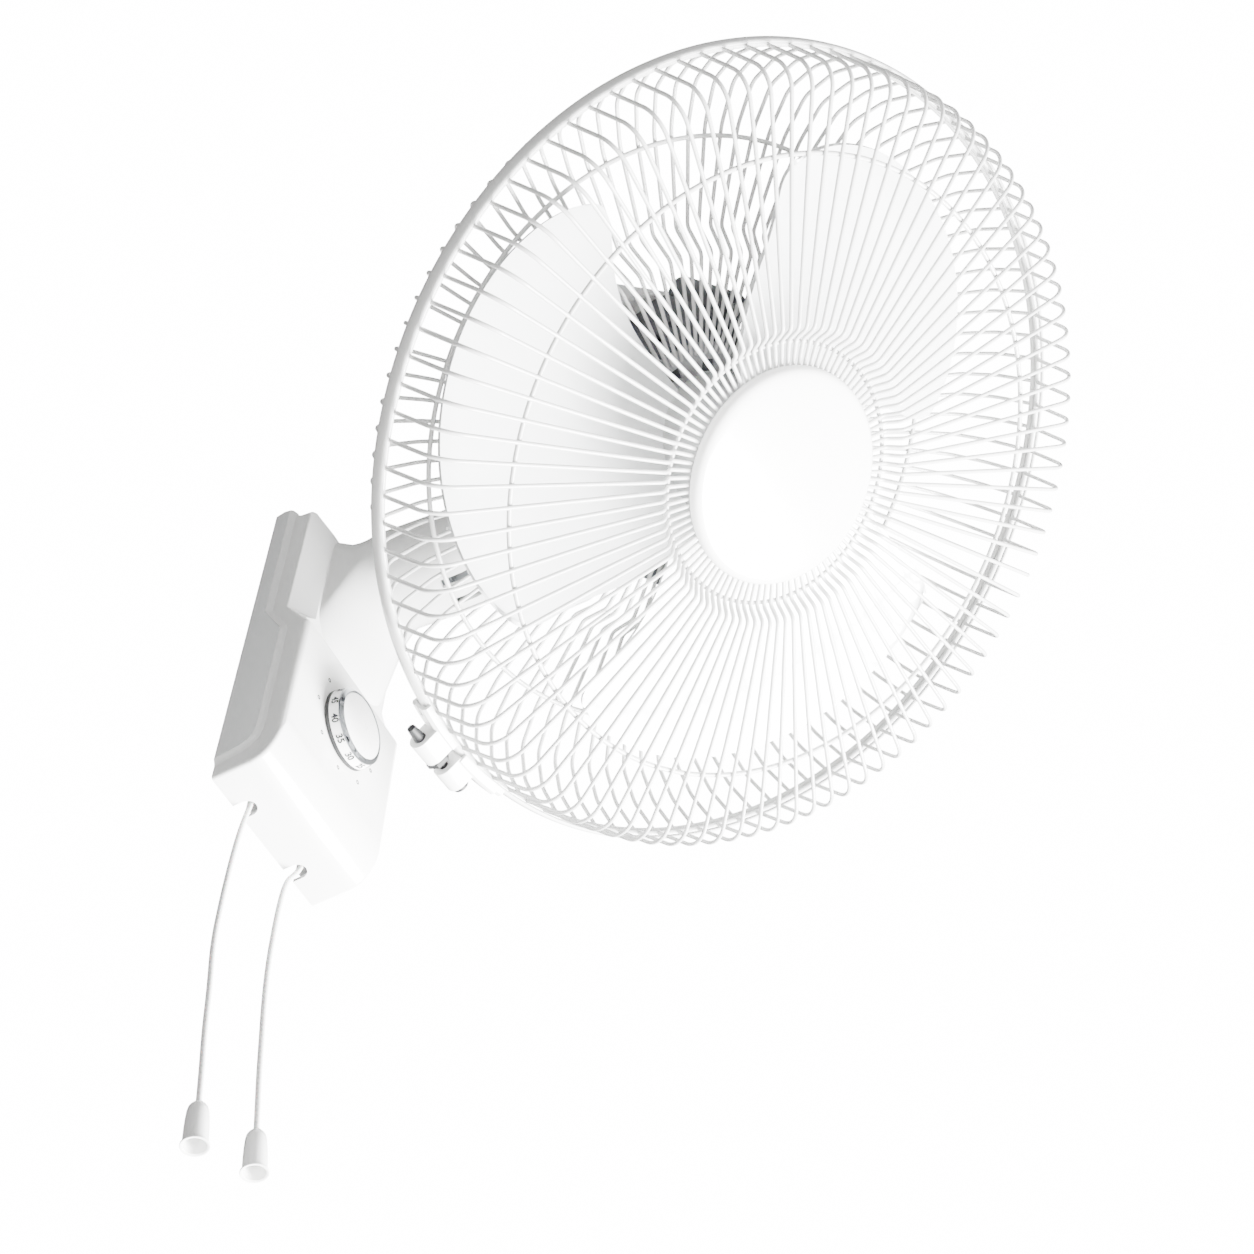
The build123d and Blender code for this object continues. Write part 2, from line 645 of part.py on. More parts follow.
def run_capacitor():
    return block(-33, -3, -PLATE_T - 16, -PLATE_T, 98, 122)


def terminal_block():
    body = block(6, 33, -PLATE_T - 11, -PLATE_T, 100, 114)
    for i in range(3):
        x = 10.5 + 9 * i
        body -= rod((x, -PLATE_T - 12, 107), (x, -PLATE_T - 6, 107), 2.2)
    return body


# ---- wire guards ------------------------------------------------------------------------------
def spoke(points, radii):
    """One bent wire in the plane of the axis."""
    path = FilletPolyline(*[(r, 0, z) for r, z in points], radius=radii)
    return sweep(Plane(origin=path @ 0, z_dir=path % 0) * Circle(WIRE_D / 2), path=path)


def ring_share(radius, height, wire_radius):
    """One spoke's share of a ring."""
    share = 360 / WIRES
    section = Plane(origin=(radius, 0, height), x_dir=(1, 0, 0), z_dir=(0, 1, 0))
    return Rot(0, 0, -share / 2) * revolve(section * Circle(wire_radius), Axis.Z, share)


def guard(points, radii, rings):
    """A cage of equal spokes welded to its rings, made share by share and joined in one go."""
    with SkipClean():
        share = spoke(points, radii)
        for ring in rings:
            share = share.fuse(ring_share(*ring))
        share = share.solids()[0]
        copies = [Rot(0, 0, i * 360 / WIRES) * share for i in range(WIRES)]
        return copies[0].fuse(*copies[1:], glue=True)


def front_guard():
    slope = (FRONT_STEP_S - FRONT_SHOULDER_S) / (FRONT_SHOULDER_R - FRONT_STEP_R)
    wire_s = FRONT_SHOULDER_S + (FRONT_SHOULDER_R - FRONT_RING_R) * slope
    points = [(RIM_R - 0.5, RIM_S), (FRONT_SHOULDER_R, FRONT_SHOULDER_S),
              (FRONT_STEP_R, FRONT_STEP_S), (FRONT_INNER_R, FRONT_INNER_S),
              (FRONT_END_R, FRONT_INNER_S)]
    rings = [(RIM_R, RIM_S, RIM_WIRE_R), (FRONT_RING_R, wire_s - 2.0, RING_WIRE_R),
             (STEP_RING_R, FRONT_INNER_S - 1.8, STEP_WIRE_R)]
    return guard(points, [15, 6, 5], rings)


def rear_guard():
    points = [(RIM_R - 0.5, -RIM_S), (REAR_SHOULDER_R, REAR_SHOULDER_S),
              (REAR_CORNER_R, REAR_CORNER_S), (REAR_FLAT_R, REAR_FLAT_S),
              (REAR_STEP_R, REAR_STEP_S), (REAR_INNER_R, REAR_INNER_S), (REAR_END_R, REAR_INNER_S)]
    rings = [(RIM_R, -RIM_S, RIM_WIRE_R), (REAR_RING_R, REAR_FLAT_S + 2.0, RING_WIRE_R)]
    return guard(points, [20, 15, 30, 6, 6], rings)


def guard_plate():
    """The disc that the rear spokes are welded to, with its cooling holes."""
    top = REAR_INNER_S - WIRE_D / 2 - 0.05
    disc = ring_slab(PLATE_R, NOSE_R + 0.3, top - DISC_T, top)
    for i in range(12):
        x, y = at_angle(43, 23 + 30 * i)
        hole = slab(Pos(x, y) * Rot(0, 0, 23 + 30 * i) * Rectangle(7, 8), top - 3, top + 1)
        disc -= hole
    return disc


def guard_nut():
    back = REAR_INNER_S - WIRE_D / 2 - 0.05
    body = ring_slab(NUT_R, NOSE_R + SNUG, back, NUT_FRONT_S)
    for i in range(12):
        x, y = at_angle(NUT_R + 0.6, 30 * i)
        body -= slab(Pos(x, y) * Circle(2.4), back - 1, NUT_FRONT_S + 1)
    return body


# ---- hoop and its clamp -------------------------------------------------------------------------
def arc_block(profile, angles):
    """An outline of (r, z) points turned between two angles."""
    face = make_face(Polyline(*[(r, 0, z) for r, z in profile], close=True))
    return Rot(0, 0, angles[0]) * revolve(face, Axis.Z, angles[1] - angles[0])


def hoop():
    h = HOOP_W / 2
    floor = HOOP_R - HOOP_WALL
    channel = [(HOOP_LIP_R, -h), (HOOP_R - 0.7, -h), (HOOP_R, -h + 1.6), (HOOP_R, h - 1.6),
               (HOOP_R - 0.7, h), (HOOP_LIP_R, h), (HOOP_LIP_R, h - HOOP_LIP),
               (floor, h - HOOP_LIP), (floor, -h + HOOP_LIP), (HOOP_LIP_R, -h + HOOP_LIP)]
    return arc_block(channel, (HOOP_GAP[1], HOOP_GAP[0] + 360))


def sleeve(angles, outer):
    """A moulded sleeve round the hoop's outside."""
    w = SLEEVE_HALF_W
    h = HOOP_W / 2 + 0.05
    inner = HOOP_R + 0.05
    outline = [(HOOP_LIP_R, -w), (outer - 1.5, -w), (outer, -w + 2), (outer, w - 2),
               (outer - 1.5, w), (HOOP_LIP_R, w), (HOOP_LIP_R, h), (inner, h), (inner, -h),
               (HOOP_LIP_R, -h)]
    return arc_block(outline, angles)


def clamp_frame():
    """Z along the clamp screw, X outwards."""
    x, y = at_angle(LUG_AXIS_R, CLAMP_AT)
    outward = Vector(x, y, 0).normalized()
    along = Vector(-outward.Y, outward.X, 0)
    return Plane(origin=(x, y, 0), x_dir=outward, z_dir=along).location


def lug(span):
    """A barrel round the clamp screw, with a web down to the hoop."""
    start, end = span
    barrel = Pos(0, 0, start) * extrude(Circle(LUG_R), end - start)
    reach = LUG_AXIS_R - HOOP_R - 1
    web = block(-reach, 0, -LUG_R, LUG_R, start, end)
    return clamp_frame() * (barrel + web)


def clamp_bore(radius, span):
    return clamp_frame() * (Pos(0, 0, span[0]) * extrude(Circle(radius), span[1] - span[0]))


def hoop_clear():
    """The space that the hoop takes, with a little room round it."""
    return ring_slab(HOOP_R + 0.05, HOOP_R - 8, -HOOP_W / 2 - 0.05, HOOP_W / 2 + 0.05)


def upper_sleeve():
    body = sleeve(SLEEVE_1, SLEEVE_R - 0.6) + lug(LUG_1)
    body -= hoop_clear()
    # the notch in the sleeve's end
    x, y = at_angle(SLEEVE_R - 1, SLEEVE_1[0] + 0.6)
    body -= Pos(x, y, -2.4) * Rot(0, 0, SLEEVE_1[0]) * extrude(Rectangle(9, 9), 3.4)
    return body - clamp_bore(CLAMP_SCREW_R + 0.05, (LUG_1[0] - 8, LUG_1[1] + 1))


def lower_sleeve():
    body = sleeve(SLEEVE_2, SLEEVE_R + 0.8) + lug(LUG_2)
    body += sleeve((SLEEVE_2[1], SLEEVE_2[1] + 1.2), SLEEVE_R - 0.8)
    body -= hoop_clear()
    return body - clamp_bore(CLAMP_SCREW_R + 0.05, (LUG_2[0] - 1, LUG_2[1] + 8))


def clamp_screw():
    start = LUG_1[0]
    end = LUG_2[1]
    body = Pos(0, 0, start - 8) * extrude(Circle(CLAMP_SCREW_R), end - start + 8)
    body += Pos(0, 0, end) * extrude(Circle(4.5), 3)
    tip = Plane(origin=(0, 0, start - 0.1), z_dir=(0, 0, -1)) * Circle(3.4)
    body += extrude(tip, 8.5, taper=7)
    return clamp_frame() * body


def clamp_nut():
    shape = RegularPolygon(7.0, 6) - Circle(CLAMP_SCREW_R + SNUG)
    return clamp_frame() * (Pos(0, 0, LUG_1[1]) * extrude(shape, 3.2))


# ---- hub cap --------------------------------------------------------------------------------------
def cap_places():
    return [at_angle(CAP_POST_PITCH_R, 45 + i * 360 / CAP_SCREWS) for i in range(CAP_SCREWS)]


def retainer_front():
    return FRONT_INNER_S - WIRE_D / 2 - 0.1


def hub_cap():
    r = CAP_R
    e = CAP_EDGE_R
    t = CAP_WALL
    outer = Line((0, 0, CAP_FACE_S), (r - e - 8, 0, CAP_FACE_S - 0.6))
    edge = TangentArc(outer @ 1, (r, 0, CAP_FACE_S - e - 1.4), tangent=outer % 1)
    rim = Polyline(edge @ 1, (r, 0, CAP_REAR_S), (r - t, 0, CAP_REAR_S),
                   (r - t, 0, CAP_FACE_S - e - 1.4), (r - e - 8, 0, CAP_FACE_S - 0.6 - t),
                   (0, 0, CAP_FACE_S - t), (0, 0, CAP_FACE_S))
    body = revolve(make_face([outer, edge, *rim.edges()]), Axis.Z)
    for x, y in cap_places():
        body += slab(Pos(x, y) * Circle(CAP_POST_R), retainer_front(), CAP_FACE_S - t)
        body -= slab(Pos(x, y) * Circle(1.52), retainer_front() - 1, CAP_FACE_S - t - 2)
    return body


def cap_retainer():
    front = retainer_front()
    disc = slab(Circle(RETAINER_R), front - RETAINER_T, front)
    for x, y in cap_places():
        disc -= slab(Pos(x, y) * Circle(1.7), front - RETAINER_T - 1, front + 1)
    return disc


def cap_screws():
    back = retainer_front() - RETAINER_T
    return Compound(children=[
        slab(Pos(x, y) * Circle(1.5), back, CAP_FACE_S - CAP_WALL - 3)
        + slab(Pos(x, y) * Circle(3.4), back - 1.8, back) for x, y in cap_places()])


# ---- motor ------------------------------------------------------------------------------------------
def case_outline(shrink=0.0):
    body = RectangleRounded(CASE_W - 2 * shrink, CASE_H - 2 * shrink, CASE_CORNER_R - shrink)
    for x in (-EAR_PITCH_X, EAR_PITCH_X):
        for y in (-EAR_PITCH_U, EAR_PITCH_U):
            body += Pos(x, y) * Circle(CASE_EAR_R - shrink)
    return body


def bolt_places():
    return [(x, y) for x in (-EAR_PITCH_X, EAR_PITCH_X) for y in (-EAR_PITCH_U, EAR_PITCH_U)]


def case_half(face_s, split_s, core_s):
    """One half of the motor casing: a cup with pads for the core and bosses for the bolts."""
    low, high = sorted((face_s, split_s))
    inward = 1 if split_s > face_s else -1
    body = slab(case_outline(), low, high)
    inner = sorted((face_s + inward * CASE_WALL, split_s + inward))
    body -= slab(case_outline(CASE_WALL), inner[0], inner[1])
    pad = sorted((face_s + inward * 0.5, core_s))
    for x in (-PAD_PITCH, PAD_PITCH):
        for y in (-PAD_PITCH, PAD_PITCH):
            body += slab(Pos(x, y) * Circle(PAD_R), pad[0], pad[1])
    for x, y in bolt_places():
        body += slab(Pos(x, y) * Circle(BOSS_R), low, high)
        body -= slab(Pos(x, y) * Circle(BOLT_R + 0.1), low - 1, high + 1)
    return body


def face_vents(face_s):
    """Cooling slots through a face of the casing."""
    cuts = []
    for i in range(12):
        angle = 8 + 30 * i
        x, y = at_angle(43, angle)
        cuts.append(slab(Pos(x, y) * Rot(0, 0, angle) * Rectangle(11, 7), face_s - 4, face_s + 4))
    return cuts


def side_vents(middle_s):
    """Cooling slots through the casing's sides."""
    cuts = []
    for i in range(-2, 3):
        cuts.append(block(i * 13 - 2.5, i * 13 + 2.5, -70, 70, middle_s - 5, middle_s + 5))
        cuts.append(block(-70, 70, i * 13 - 2.5, i * 13 + 2.5, middle_s - 5, middle_s + 5))
    return cuts


def motor_front_case():
    body = case_half(CASE_FRONT_S, CASE_SPLIT_S, CORE_FRONT_S)
    for cut in face_vents(CASE_FRONT_S):
        body -= cut
    for cut in side_vents((CASE_FRONT_S + CASE_SPLIT_S) / 2 - 2):
        body -= cut
    body += slab(Circle(NOSE_R), CASE_FRONT_S - CASE_WALL - 2, NOSE_FRONT_S)
    body -= slab(Circle(BUSH_R + SNUG), CASE_FRONT_S - 9, NOSE_FRONT_S - 2)
    body -= slab(Circle(SHAFT_R + 0.6), NOSE_FRONT_S - 3, NOSE_FRONT_S + 1)
    return body.solids().sort_by(SortBy.VOLUME)[-1]


def motor_rear_case():
    body = case_half(CASE_REAR_S, CASE_SPLIT_S, CORE_REAR_S)
    for cut in face_vents(CASE_REAR_S):
        body -= cut
    body += slab(Circle(BUSH_R + 4), CASE_REAR_S - 10, CASE_REAR_S + CASE_WALL)
    body -= slab(Circle(BUSH_R + SNUG), CASE_REAR_S - 8, CASE_REAR_S + CASE_WALL + 1)
    # the shelf that carries the swing drive, and the bearing that the head pans on
    shelf = block(-SHELF_W / 2, SHELF_W / 2, SHELF_TOP - SHELF_T, SHELF_TOP, SHELF_REAR_S,
                  CASE_REAR_S + 1)
    body += shelf
    body += rod((0, PAN_BOSS_LOW, T_AT), (0, SHELF_TOP, T_AT), PAN_BOSS_R)
    body += block(-SHELF_W / 2, SHELF_W / 2, SHELF_TOP - SHELF_T, SHELF_TOP + 12,
                  CASE_REAR_S - SHELF_T, CASE_REAR_S + 0.5)
    body -= rod((0, PAN_BOSS_LOW - 1, T_AT), (0, SHELF_TOP + 8, T_AT), PAN_R + RUN)
    body -= rod((SWING_X, SHELF_TOP - 4, SWING_S), (SWING_X, SHELF_TOP + 1, SWING_S), 5.5)
    for s in (SWING_S - SWING_SCREW, SWING_S + SWING_SCREW):
        body -= rod((SWING_X, SHELF_TOP - 4, s), (SWING_X, SHELF_TOP + 1, s), 1.6)
    return body.solids().sort_by(SortBy.VOLUME)[-1]


def motor_bolts():
    bolts = []
    for x, y in bolt_places():
        bolt = slab(Pos(x, y) * Circle(BOLT_R), CASE_REAR_S - BOLT_TAIL, CASE_FRONT_S)
        bolt += slab(Pos(x, y) * Circle(BOLT_HEAD_R), CASE_FRONT_S, CASE_FRONT_S + BOLT_HEAD_T)
        nut = Pos(x, y) * RegularPolygon(BOLT_NUT_R, 6)
        bolts.append(bolt + slab(nut, CASE_REAR_S - BOLT_NUT_T, CASE_REAR_S))
    return Compound(children=bolts)


def stator_core():
    core = slab(RectangleRounded(CORE_W, CORE_W, 12), CORE_REAR_S, CORE_FRONT_S)
    core -= slab(Circle(CORE_BORE_R), CORE_REAR_S - 1, CORE_FRONT_S + 1)
    for i in range(16):
        x, y = at_angle(34, 360 / 16 * i)
        core -= slab(Pos(x, y) * Rot(0, 0, 360 / 16 * i) * Rectangle(9, 5.4),
                     CORE_REAR_S - 1, CORE_FRONT_S + 1)
    return core


def stator_coils():
    """Sixteen filled slots joined at each end by the coils' heads."""
    body = ring_slab(38.2, 29.8, CORE_FRONT_S, CORE_FRONT_S + 6)
    body += ring_slab(38.2, 29.8, CORE_REAR_S - 6, CORE_REAR_S)
    for i in range(16):
        x, y = at_angle(34, 360 / 16 * i)
        body += slab(Pos(x, y) * Rot(0, 0, 360 / 16 * i) * Rectangle(7.6, 5.0),
                     CORE_REAR_S, CORE_FRONT_S)
    return body


def bush(front_s):
    return ring_slab(BUSH_R, SHAFT_R + RUN, front_s - BUSH_LEN, front_s)


def rotor_core():
    body = ring_slab(CORE_BORE_R - AIR_GAP, SHAFT_R + SNUG, CORE_REAR_S, CORE_FRONT_S)
    body += ring_slab(24, 17, CORE_FRONT_S, CORE_FRONT_S + 2.5)
    return body + ring_slab(24, 17, CORE_REAR_S - 2.5, CORE_REAR_S)


def rotor_shaft():
    return slab(Circle(SHAFT_R), CASE_REAR_S - 7.5, SHAFT_FRONT_S)


# ---- blades --------------------------------------------------------------------------------------------
def blade():
    """One twisted blade, from a grid of points across it and out along it."""
    lead = Spline(*[(r, a) for r, a in LEADING_EDGE])
    trail = Spline(*[(r, a) for r, a in TRAILING_EDGE])
    across = 12
    out = 10
    grid = []
    for i in range(across + 1):
        t = i / across
        row = []
        for j in range(out + 1):
            v = j / out
            a = lead @ v
            b = trail @ v
            bulge = TIP_BULGE * v ** 2 * (4 * t * (1 - t)) ** 0.8
            x, y = at_angle(a.X + (b.X - a.X) * t + bulge, BLADE_AT + a.Y + (b.Y - a.Y) * t)
            rise = BLADE_REAR_S + (BLADE_FRONT_S - BLADE_REAR_S) * t
            row.append(Vector(x, y, rise - BLADE_CAMBER * 4 * t * (1 - t)))
        grid.append(row)
    sheet = Face.make_surface_from_array_of_points(grid, tol=0.05)
    return Solid.thicken(sheet, BLADE_T)


def blade_set():
    hub = ring_slab(HUB_R, HUB_R - HUB_WALL, BLADE_REAR_S - 1.5, BLADE_FRONT_S + 2.0)
    hub += ring_slab(HUB_R, SHAFT_R + SNUG, BLADE_FRONT_S - 0.5, BLADE_FRONT_S + 2.0)
    hub += ring_slab(11, SHAFT_R + SNUG, BLADE_REAR_S + 3, BLADE_FRONT_S)
    for i in range(6):
        hub += Rot(0, 0, 60 * i) * block(10, HUB_R - 1, -1, 1, BLADE_REAR_S + 6, BLADE_FRONT_S)
    one = blade()
    body = hub
    for i in range(BLADES):
        body += Rot(0, 0, i * 360 / BLADES) * one
    return body


def blade_nut():
    back = BLADE_FRONT_S + 2.0
    body = lathe([(0, back), (15, back), (15, back + 5), (11, back + 9.5), (0, back + 11)])
    return body - slab(Circle(SHAFT_R + SNUG), back - 1, SHAFT_FRONT_S + 0.2)


# ---- rear cover, pan bearing and swing drive --------------------------------------------------------------
def cover_outline(inset):
    i = inset
    front = CASE_REAR_S
    return [(0, front), (COVER_R - i, front), (COVER_REAR_R - i, COVER_TAPER_S),
            (COVER_REAR_R - 6 - i, COVER_TAPER_S - 11 + 0.5 * i),
            (COVER_REAR_R - 19 - i, COVER_REAR_S + i), (0, COVER_REAR_S + i)]


def rear_cover():
    body = lathe(cover_outline(0)) - lathe(cover_outline(COVER_T))
    half = COVER_SLOT_W / 2
    body -= block(-half, half, -COVER_R - 2, -40, COVER_SLOT_S, CASE_REAR_S + 1)
    for i in range(16):
        cut = block(16, 44, -1.6, 1.6, COVER_REAR_S - 1, COVER_REAR_S + 4)
        body -= Rot(0, 0, 11.25 + 22.5 * i) * cut
    # the rim stands clear of the casing's nuts
    for x, y in bolt_places():
        body -= slab(Pos(x, y) * Circle(NUT_POCKET_R), CASE_REAR_S - BOLT_TAIL - 1, CASE_REAR_S + 1)
    # the post that the cover's screw enters
    body += slab(Circle(5), COVER_REAR_S + 1, CASE_REAR_S - 10)
    body -= slab(Circle(2.1), COVER_REAR_S - 1, CASE_REAR_S - 9)
    return body


def cover_screw():
    body = slab(Circle(2.0), COVER_REAR_S, CASE_REAR_S - 10)
    return body + slab(Circle(4), COVER_REAR_S - 2.2, COVER_REAR_S)


def swing_motor():
    top = SHELF_TOP + SWING_H
    body = rod((SWING_X, SHELF_TOP, SWING_S), (SWING_X, top, SWING_S), SWING_R)
    return body - rod((SWING_X, SHELF_TOP - 1, SWING_S), (SWING_X, SHELF_TOP + 10, SWING_S),
                      CRANK_SHAFT_R + RUN)


def swing_screws():
    low = SHELF_TOP - SHELF_T
    return Compound(children=[
        rod((SWING_X, low, s), (SWING_X, SHELF_TOP, s), 1.5)
        + rod((SWING_X, low - 1.6, s), (SWING_X, low, s), 2.8)
        for s in (SWING_S - SWING_SCREW, SWING_S + SWING_SCREW)])


def swing_crank():
    pin_x = SWING_X + CRANK_R
    low = LINK_TOP - LINK_T - 0.3
    body = rod((SWING_X, CRANK_LOW, SWING_S), (SWING_X, SHELF_TOP + 9, SWING_S), CRANK_SHAFT_R)
    body += rod((SWING_X, CRANK_LOW, SWING_S), (SWING_X, CRANK_LOW + CRANK_T, SWING_S),
                CRANK_R + 4)
    body += rod((pin_x, low, SWING_S), (pin_x, CRANK_LOW + 1, SWING_S), CRANK_PIN_R)
    return body + rod((pin_x, low - 1.2, SWING_S), (pin_x, low, SWING_S), 3.4)


def arm_eye():
    """Middle of the link's slack eye: the fixed pin's place at rest, moved out by half its wander."""
    return ARM_X + LINK_SLOP - 0.03, T_AT


def swing_link():
    low = LINK_TOP - LINK_T
    eye_r = ARM_PIN_R + LINK_SLOP + 0.45
    pin_x = SWING_X + CRANK_R
    x, s = arm_eye()
    body = rod((pin_x, low, SWING_S), (pin_x, LINK_TOP, SWING_S), 5)
    body += rod((x, low, s), (x, LINK_TOP, s), eye_r + 1.6)
    run = Vector(x - pin_x, 0, s - SWING_S)
    middle = ((x + pin_x) / 2, low, (s + SWING_S) / 2)
    bar = Plane(origin=middle, x_dir=run, z_dir=(0, 1, 0))
    body += extrude(bar * Rectangle(run.length, LINK_W), LINK_T)
    body -= rod((pin_x, low - 1, SWING_S), (pin_x, LINK_TOP + 1, SWING_S), CRANK_PIN_R + 0.05)
    return body - rod((x, low - 1, s), (x, LINK_TOP + 1, s), eye_r)


def tilt_knuckle():
    w = EAR_IN - 0.3
    body = rod((-w, U_AT, T_AT), (w, U_AT, T_AT), EYE_R)
    body += block(-w, w, U_AT, PLATFORM_LOW + 0.5, T_AT - 9, T_AT + 9)
    body += rod((0, PLATFORM_LOW, T_AT), (0, PLATFORM_TOP, T_AT), PLATFORM_R)
    body += rod((ARM_X, PLATFORM_TOP - 1, T_AT), (ARM_X, LINK_TOP + 1, T_AT), ARM_PIN_R)
    body -= rod((0, PLATFORM_LOW - 1, T_AT), (0, PLATFORM_TOP + 1, T_AT), PAN_R + SNUG)
    return body - rod((-w - 1, U_AT, T_AT), (w + 1, U_AT, T_AT), TILT_BOLT_R + 0.05)


def pan_pin():
    body = rod((0, PLATFORM_LOW, T_AT), (0, SHELF_TOP + 4, T_AT), PAN_R)
    return body + rod((0, PLATFORM_TOP, T_AT), (0, PAN_BOSS_LOW - 1.1, T_AT), PAN_SHOULDER_R)


def pan_washer():
    return tube((0, PAN_BOSS_LOW - 1.05, T_AT), (0, PAN_BOSS_LOW - 0.05, T_AT), PAN_BOSS_R - 0.5,
                PAN_R + SNUG)


def pan_clip():
    return tube((0, SHELF_TOP + 0.3, T_AT), (0, SHELF_TOP + 2.2, T_AT), PAN_R + 3, PAN_R + SNUG)


# ---- write the nodes ----------------------------------------------------------------------------------------
os.makedirs("parts", exist_ok=True)

save("wall_plate", wall_plate())
save("rear_shell", rear_shell())
save("front_cover", front_cover())
save("cover_screws", cover_screws())
save("neck_bracket", neck_bracket())
save("bracket_screws", bracket_screws())
save("tilt_bolt", tilt_bolt())
save("tilt_nut", tilt_nut())
save("tilt_washers", tilt_washers())
save("timer_body", timer_body())
save("timer_shaft", timer_shaft())
save("timer_knob", timer_knob())
save("knob_ring", knob_ring())
save("run_capacitor", run_capacitor())
save("terminal_block", terminal_block())
for pull, side, route in (("speed", -SLOT_X, SPEED_CORD), ("swing", SLOT_X, SWING_CORD)):
    save(f"{pull}_switch", pull_switch(side))
    save(f"{pull}_lever", pull_lever(side))
    save(f"{pull}_cord", cord_tube(pull, route))
    save(f"{pull}_bell", bell(route))

save("front_guard", HEAD * front_guard())
save("rear_guard", HEAD * rear_guard())
save("guard_plate", HEAD * guard_plate())
save("guard_nut", HEAD * guard_nut())
save("hoop", HEAD * hoop())
save("upper_sleeve", HEAD * upper_sleeve())
save("lower_sleeve", HEAD * lower_sleeve())
save("clamp_screw", HEAD * clamp_screw())
save("clamp_nut", HEAD * clamp_nut())
save("hub_cap", HEAD * hub_cap())
save("cap_retainer", HEAD * cap_retainer())
save("cap_screws", HEAD * cap_screws())
save("motor_front_case", HEAD * motor_front_case())
save("motor_rear_case", HEAD * motor_rear_case())
save("motor_bolts", HEAD * motor_bolts())
save("stator_core", HEAD * stator_core())
save("stator_coils", HEAD * stator_coils())
save("front_bush", HEAD * bush(NOSE_FRONT_S - 3))
save("rear_bush", HEAD * bush(CASE_REAR_S + CASE_WALL - 0.5))
save("rotor_core", HEAD * rotor_core())
save("rotor_shaft", HEAD * rotor_shaft())
save("blade_set", HEAD * blade_set())
save("blade_nut", HEAD * blade_nut())
save("rear_cover", HEAD * rear_cover())
save("cover_screw", HEAD * cover_screw())
save("swing_motor", HEAD * swing_motor())
save("swing_screws", HEAD * swing_screws())
save("swing_crank", HEAD * swing_crank())
save("swing_link", HEAD * swing_link())
save("tilt_knuckle", HEAD * tilt_knuckle())
save("pan_pin", HEAD * pan_pin())
save("pan_washer", HEAD * pan_washer())
save("pan_clip", HEAD * pan_clip())
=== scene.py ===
"""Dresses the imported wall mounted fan: detailed pieces, finishes, a plain stage and a camera."""
import json
from math import cos, hypot, pi, radians, sin

import bmesh
import bpy
from mathutils import Matrix, Vector

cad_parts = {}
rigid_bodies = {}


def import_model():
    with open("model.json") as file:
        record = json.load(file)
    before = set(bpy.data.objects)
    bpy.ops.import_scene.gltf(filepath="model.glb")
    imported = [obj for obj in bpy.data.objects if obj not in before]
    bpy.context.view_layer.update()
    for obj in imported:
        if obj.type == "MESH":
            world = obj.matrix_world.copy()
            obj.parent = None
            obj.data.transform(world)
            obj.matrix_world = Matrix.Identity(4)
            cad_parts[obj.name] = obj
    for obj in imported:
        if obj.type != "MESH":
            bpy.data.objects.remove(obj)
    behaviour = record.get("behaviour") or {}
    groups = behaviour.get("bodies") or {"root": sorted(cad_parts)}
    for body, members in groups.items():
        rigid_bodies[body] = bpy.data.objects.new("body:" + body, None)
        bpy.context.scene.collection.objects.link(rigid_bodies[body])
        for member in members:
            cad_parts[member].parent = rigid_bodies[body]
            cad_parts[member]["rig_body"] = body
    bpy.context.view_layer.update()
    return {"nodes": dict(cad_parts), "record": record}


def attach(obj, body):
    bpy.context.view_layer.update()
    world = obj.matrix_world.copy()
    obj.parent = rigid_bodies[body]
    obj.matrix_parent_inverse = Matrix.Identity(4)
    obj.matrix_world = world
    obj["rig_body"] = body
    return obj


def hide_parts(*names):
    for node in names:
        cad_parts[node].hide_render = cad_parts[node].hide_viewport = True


bl_info = {
    "name": "Wall Mounted Fan",
    "version": (1, 0, 0),
    "blender": (4, 5, 0),
    "location": "View3D > Sidebar > Wall Fan",
    "description": "Builds the visible pieces and finishes of a wall mounted fan",
    "category": "Object",
}

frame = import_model()

# Pieces are drawn in millimetres, in one of two places of their own. The wall box's has z = 0 at
# its bottom edge, the wall at y = 0 and the room on the -Y side. The head's has Z along the air
# that the fan blows, Y up the tilted head, and its middle in the hoop.
MM = 0.001
SLIVER = 0.004         # corners of a cut piece that are nearer than this are one
ORIGIN_H = 114         # the frame's origin above the box's bottom edge
BOX = Matrix.Translation((0, 0, -ORIGIN_H * MM)) @ Matrix.Scale(MM, 4)
TILT = radians(50)
UP = Vector((0, -sin(TILT), cos(TILT)))
AIR = Vector((0, -cos(TILT), -sin(TILT)))
PIVOT = Vector((0, -0.1248, 0.0929))
HUB = PIVOT + 0.098 * UP + 0.098 * AIR
HEAD = Matrix.Translation(HUB) @ Matrix(((1, 0, 0), UP, AIR)).transposed().to_4x4() @ Matrix.Scale(MM, 4)

# the runs of the two pull cords, in millimetres, as in the part's source
SPEED_CORD = [(-25, -7.4, 18), (-25, -7.4, 9), (-25, -5.8, -1), (-24.9, -3.7, -15), (-24.8, -2.8, -37),
              (-25, -3, -62), (-25.2, -4, -88), (-25, -8, -116), (-25, -11, -143), (-25.1, -14.6, -166),
              (-25.2, -17.3, -185.7)]
SWING_CORD = [(25, -7.8, 18), (25, -7.8, 11), (24.6, -7.5, 4), (23.3, -5.4, -2), (20.9, -3.3, -7),
              (19.8, -2.6, -18), (19.4, -2.7, -38), (19.7, -3.3, -64), (20, -5.3, -88), (19.8, -8.6, -112),
              (19.7, -11.6, -135), (19.8, -14.6, -155), (19.9, -16.6, -169)]


def linear(code):
    """A linear colour from an sRGB hex code."""
    parts = [int(code[i:i + 2], 16) / 255 for i in (1, 3, 5)]
    return [p / 12.92 if p <= 0.04045 else ((p + 0.055) / 1.055) ** 2.4 for p in parts] + [1.0]


